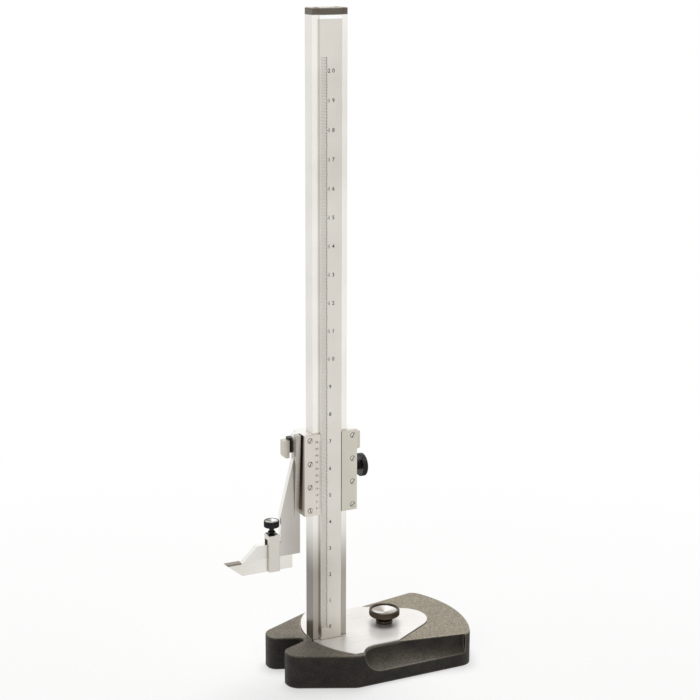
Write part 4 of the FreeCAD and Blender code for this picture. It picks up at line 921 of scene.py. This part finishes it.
def seen(tree):
    """1 for rays of the camera and of mirroring metal, 0 for the others."""
    rays = add(tree, "ShaderNodeLightPath")
    return add(tree, "ShaderNodeMath", {0: (rays, "Is Camera Ray"), 1: (rays, "Is Glossy Ray")}, "Value",
               operation="MAXIMUM")


# Half the card's width in metres, and the card's tone to rays that only light
FLOOR_HALF = 4.0
FLOOR_LIGHT = srgb("#8f8d8a")
SHADOW_REACH = (0.20, 0.75)
NEAR_WHITE = 0.55


def make_floor():
    """Matt white card. Where it's seen, directly or in metal, it's partly
    plain white near the base, so that its shadow stays soft, and wholly
    white past the shadow's reach. To other rays it's a darker card."""
    corners = np.array([(-1.0, -1.0, 0.0), (1.0, -1.0, 0.0), (1.0, 1.0, 0.0), (-1.0, 1.0, 0.0)])
    mesh = quad_mesh("floor", corners * FLOOR_HALF, np.arange(4))
    floor = new_object("floor", mesh)
    material, tree = new_material("Matt white card")
    place = stretched(tree)
    fibres = add(tree, "ShaderNodeTexNoise", {"Vector": place, "Scale": 300.0}, "Fac")
    paper = add(tree, "ShaderNodeValToRGB", {"Fac": fibres}, "Color",
                ((0.3, srgb("#f7f7f6")), (0.7, srgb("#fcfcfb"))))
    away = add(tree, "ShaderNodeVectorMath", {0: place}, "Value", operation="LENGTH")
    white = add(tree, "ShaderNodeMapRange", {"Value": away, "From Min": SHADOW_REACH[0],
                                             "From Max": SHADOW_REACH[1], "To Min": NEAR_WHITE,
                                             "To Max": 1.0}, "Result", interpolation_type="SMOOTHSTEP")
    visible = seen(tree)
    share = add(tree, "ShaderNodeMath", {0: visible, 1: white}, "Value", operation="MULTIPLY")
    colour = add(tree, "ShaderNodeMixRGB", {"Fac": visible, "Color1": FLOOR_LIGHT,
                                            "Color2": paper}, "Color")
    card = add(tree, "ShaderNodeBsdfDiffuse", {"Color": colour}, "BSDF")
    glow = add(tree, "ShaderNodeEmission", {"Color": WHITE, "Strength": 1.0}, "Emission")
    whole = add(tree, "ShaderNodeMixShader", {"Fac": share, 1: card, 2: glow}, "Shader")
    add(tree, "ShaderNodeOutputMaterial", {"Surface": whole})
    mesh.materials.append(material)


WORLD_LIGHT = 0.22


def make_world():
    """White where it's seen directly or in metal; softer as a light."""
    world = bpy.data.worlds.new("White surroundings")
    bpy.context.scene.world = world
    world.use_nodes = True
    tree = world.node_tree
    tree.nodes.clear()
    level = add(tree, "ShaderNodeMapRange", {"Value": seen(tree), "To Min": WORLD_LIGHT,
                                             "To Max": 1.0}, "Result")
    back = add(tree, "ShaderNodeBackground", {"Color": WHITE, "Strength": level}, "Background")
    add(tree, "ShaderNodeOutputWorld", {"Surface": back})


def area_lamp(name, place, aim, size, power):
    """A round lamp of that size in metres, turned to what it lights."""
    lamp = bpy.data.lights.new(name, "AREA")
    lamp.shape = "DISK"
    lamp.size = size
    lamp.energy = power
    obj = new_object(name, lamp)
    obj.location = place
    obj.rotation_euler = (Vector(aim) - Vector(place)).to_track_quat("-Z", "Y").to_euler()


def make_lamps():
    """A large lamp overhead, a little behind, and a weak one from the front."""
    area_lamp("Overhead lamp", place=(0.30, 0.55, 2.15), aim=(0.0, 0.0, 0.1), size=1.4, power=40.0)
    area_lamp("Front lamp", place=(-1.5, -1.6, 1.3), aim=(0.0, 0.0, 0.2), size=1.0, power=5.0)


# The camera's turns are yaw, pitch down and roll, in degrees, and its lens
# is a focal length of 1716 pixels on a picture of 700
CAMERA_PLACE = (-0.640, -1.341, 0.680)
CAMERA_TURN = (26.367, 13.387, 0.182)
FILM_WIDTH = 36.0
CAMERA_LENS = 1716.0 / 700.0 * FILM_WIDTH
CAMERA_SHIFT = -0.035
CAMERA_RANGE = (0.05, 50.0)


def make_camera():
    """The photograph's camera, turned down a little so that its shift is small."""
    camera = bpy.data.cameras.new("Camera")
    camera.sensor_width = FILM_WIDTH
    camera.lens = CAMERA_LENS
    camera.shift_y = CAMERA_SHIFT
    camera.clip_start, camera.clip_end = CAMERA_RANGE
    obj = new_object("Camera", camera)
    obj.location = CAMERA_PLACE
    yaw, pitch, roll = (math.radians(angle) for angle in CAMERA_TURN)
    look = Vector((math.sin(yaw) * math.cos(pitch), math.cos(yaw) * math.cos(pitch), -math.sin(pitch)))
    turn = look.to_track_quat("-Z", "Y") @ Quaternion((0.0, 0.0, 1.0), roll)
    obj.rotation_euler = turn.to_euler()
    bpy.context.scene.camera = obj


OPERATORS = (GAUGE_OT_base, GAUGE_OT_metals, GAUGE_OT_plate_screws, GAUGE_OT_beam_scale, GAUGE_OT_vernier,
             GAUGE_OT_fine_knob, GAUGE_OT_drive_knob, GAUGE_OT_clamp_screw, GAUGE_OT_stage)


class GAUGE_PT_panel(bpy.types.Panel):
    """Sizes, colours and steps of the height gauge's dressing"""

    bl_idname = "GAUGE_PT_panel"
    bl_label = "Height Gauge"
    bl_space_type = "VIEW_3D"
    bl_region_type = "UI"
    bl_category = "Height Gauge"

    def draw(self, context):
        for name in HeightGaugeSettings.__annotations__:
            self.layout.prop(context.scene.height_gauge, name)
        for step in OPERATORS:
            self.layout.operator(step.bl_idname)


CLASSES = (HeightGaugeSettings,) + OPERATORS + (GAUGE_PT_panel,)


def register():
    for cls in CLASSES:
        bpy.utils.register_class(cls)
    bpy.types.Scene.height_gauge = bpy.props.PointerProperty(type=HeightGaugeSettings)


def unregister():
    del bpy.types.Scene.height_gauge
    for cls in reversed(CLASSES):
        bpy.utils.unregister_class(cls)


def main():
    register()
    for step in OPERATORS:
        group, name = step.bl_idname.split(".")
        getattr(getattr(bpy.ops, group), name)()


if __name__ == "__main__":
    main()
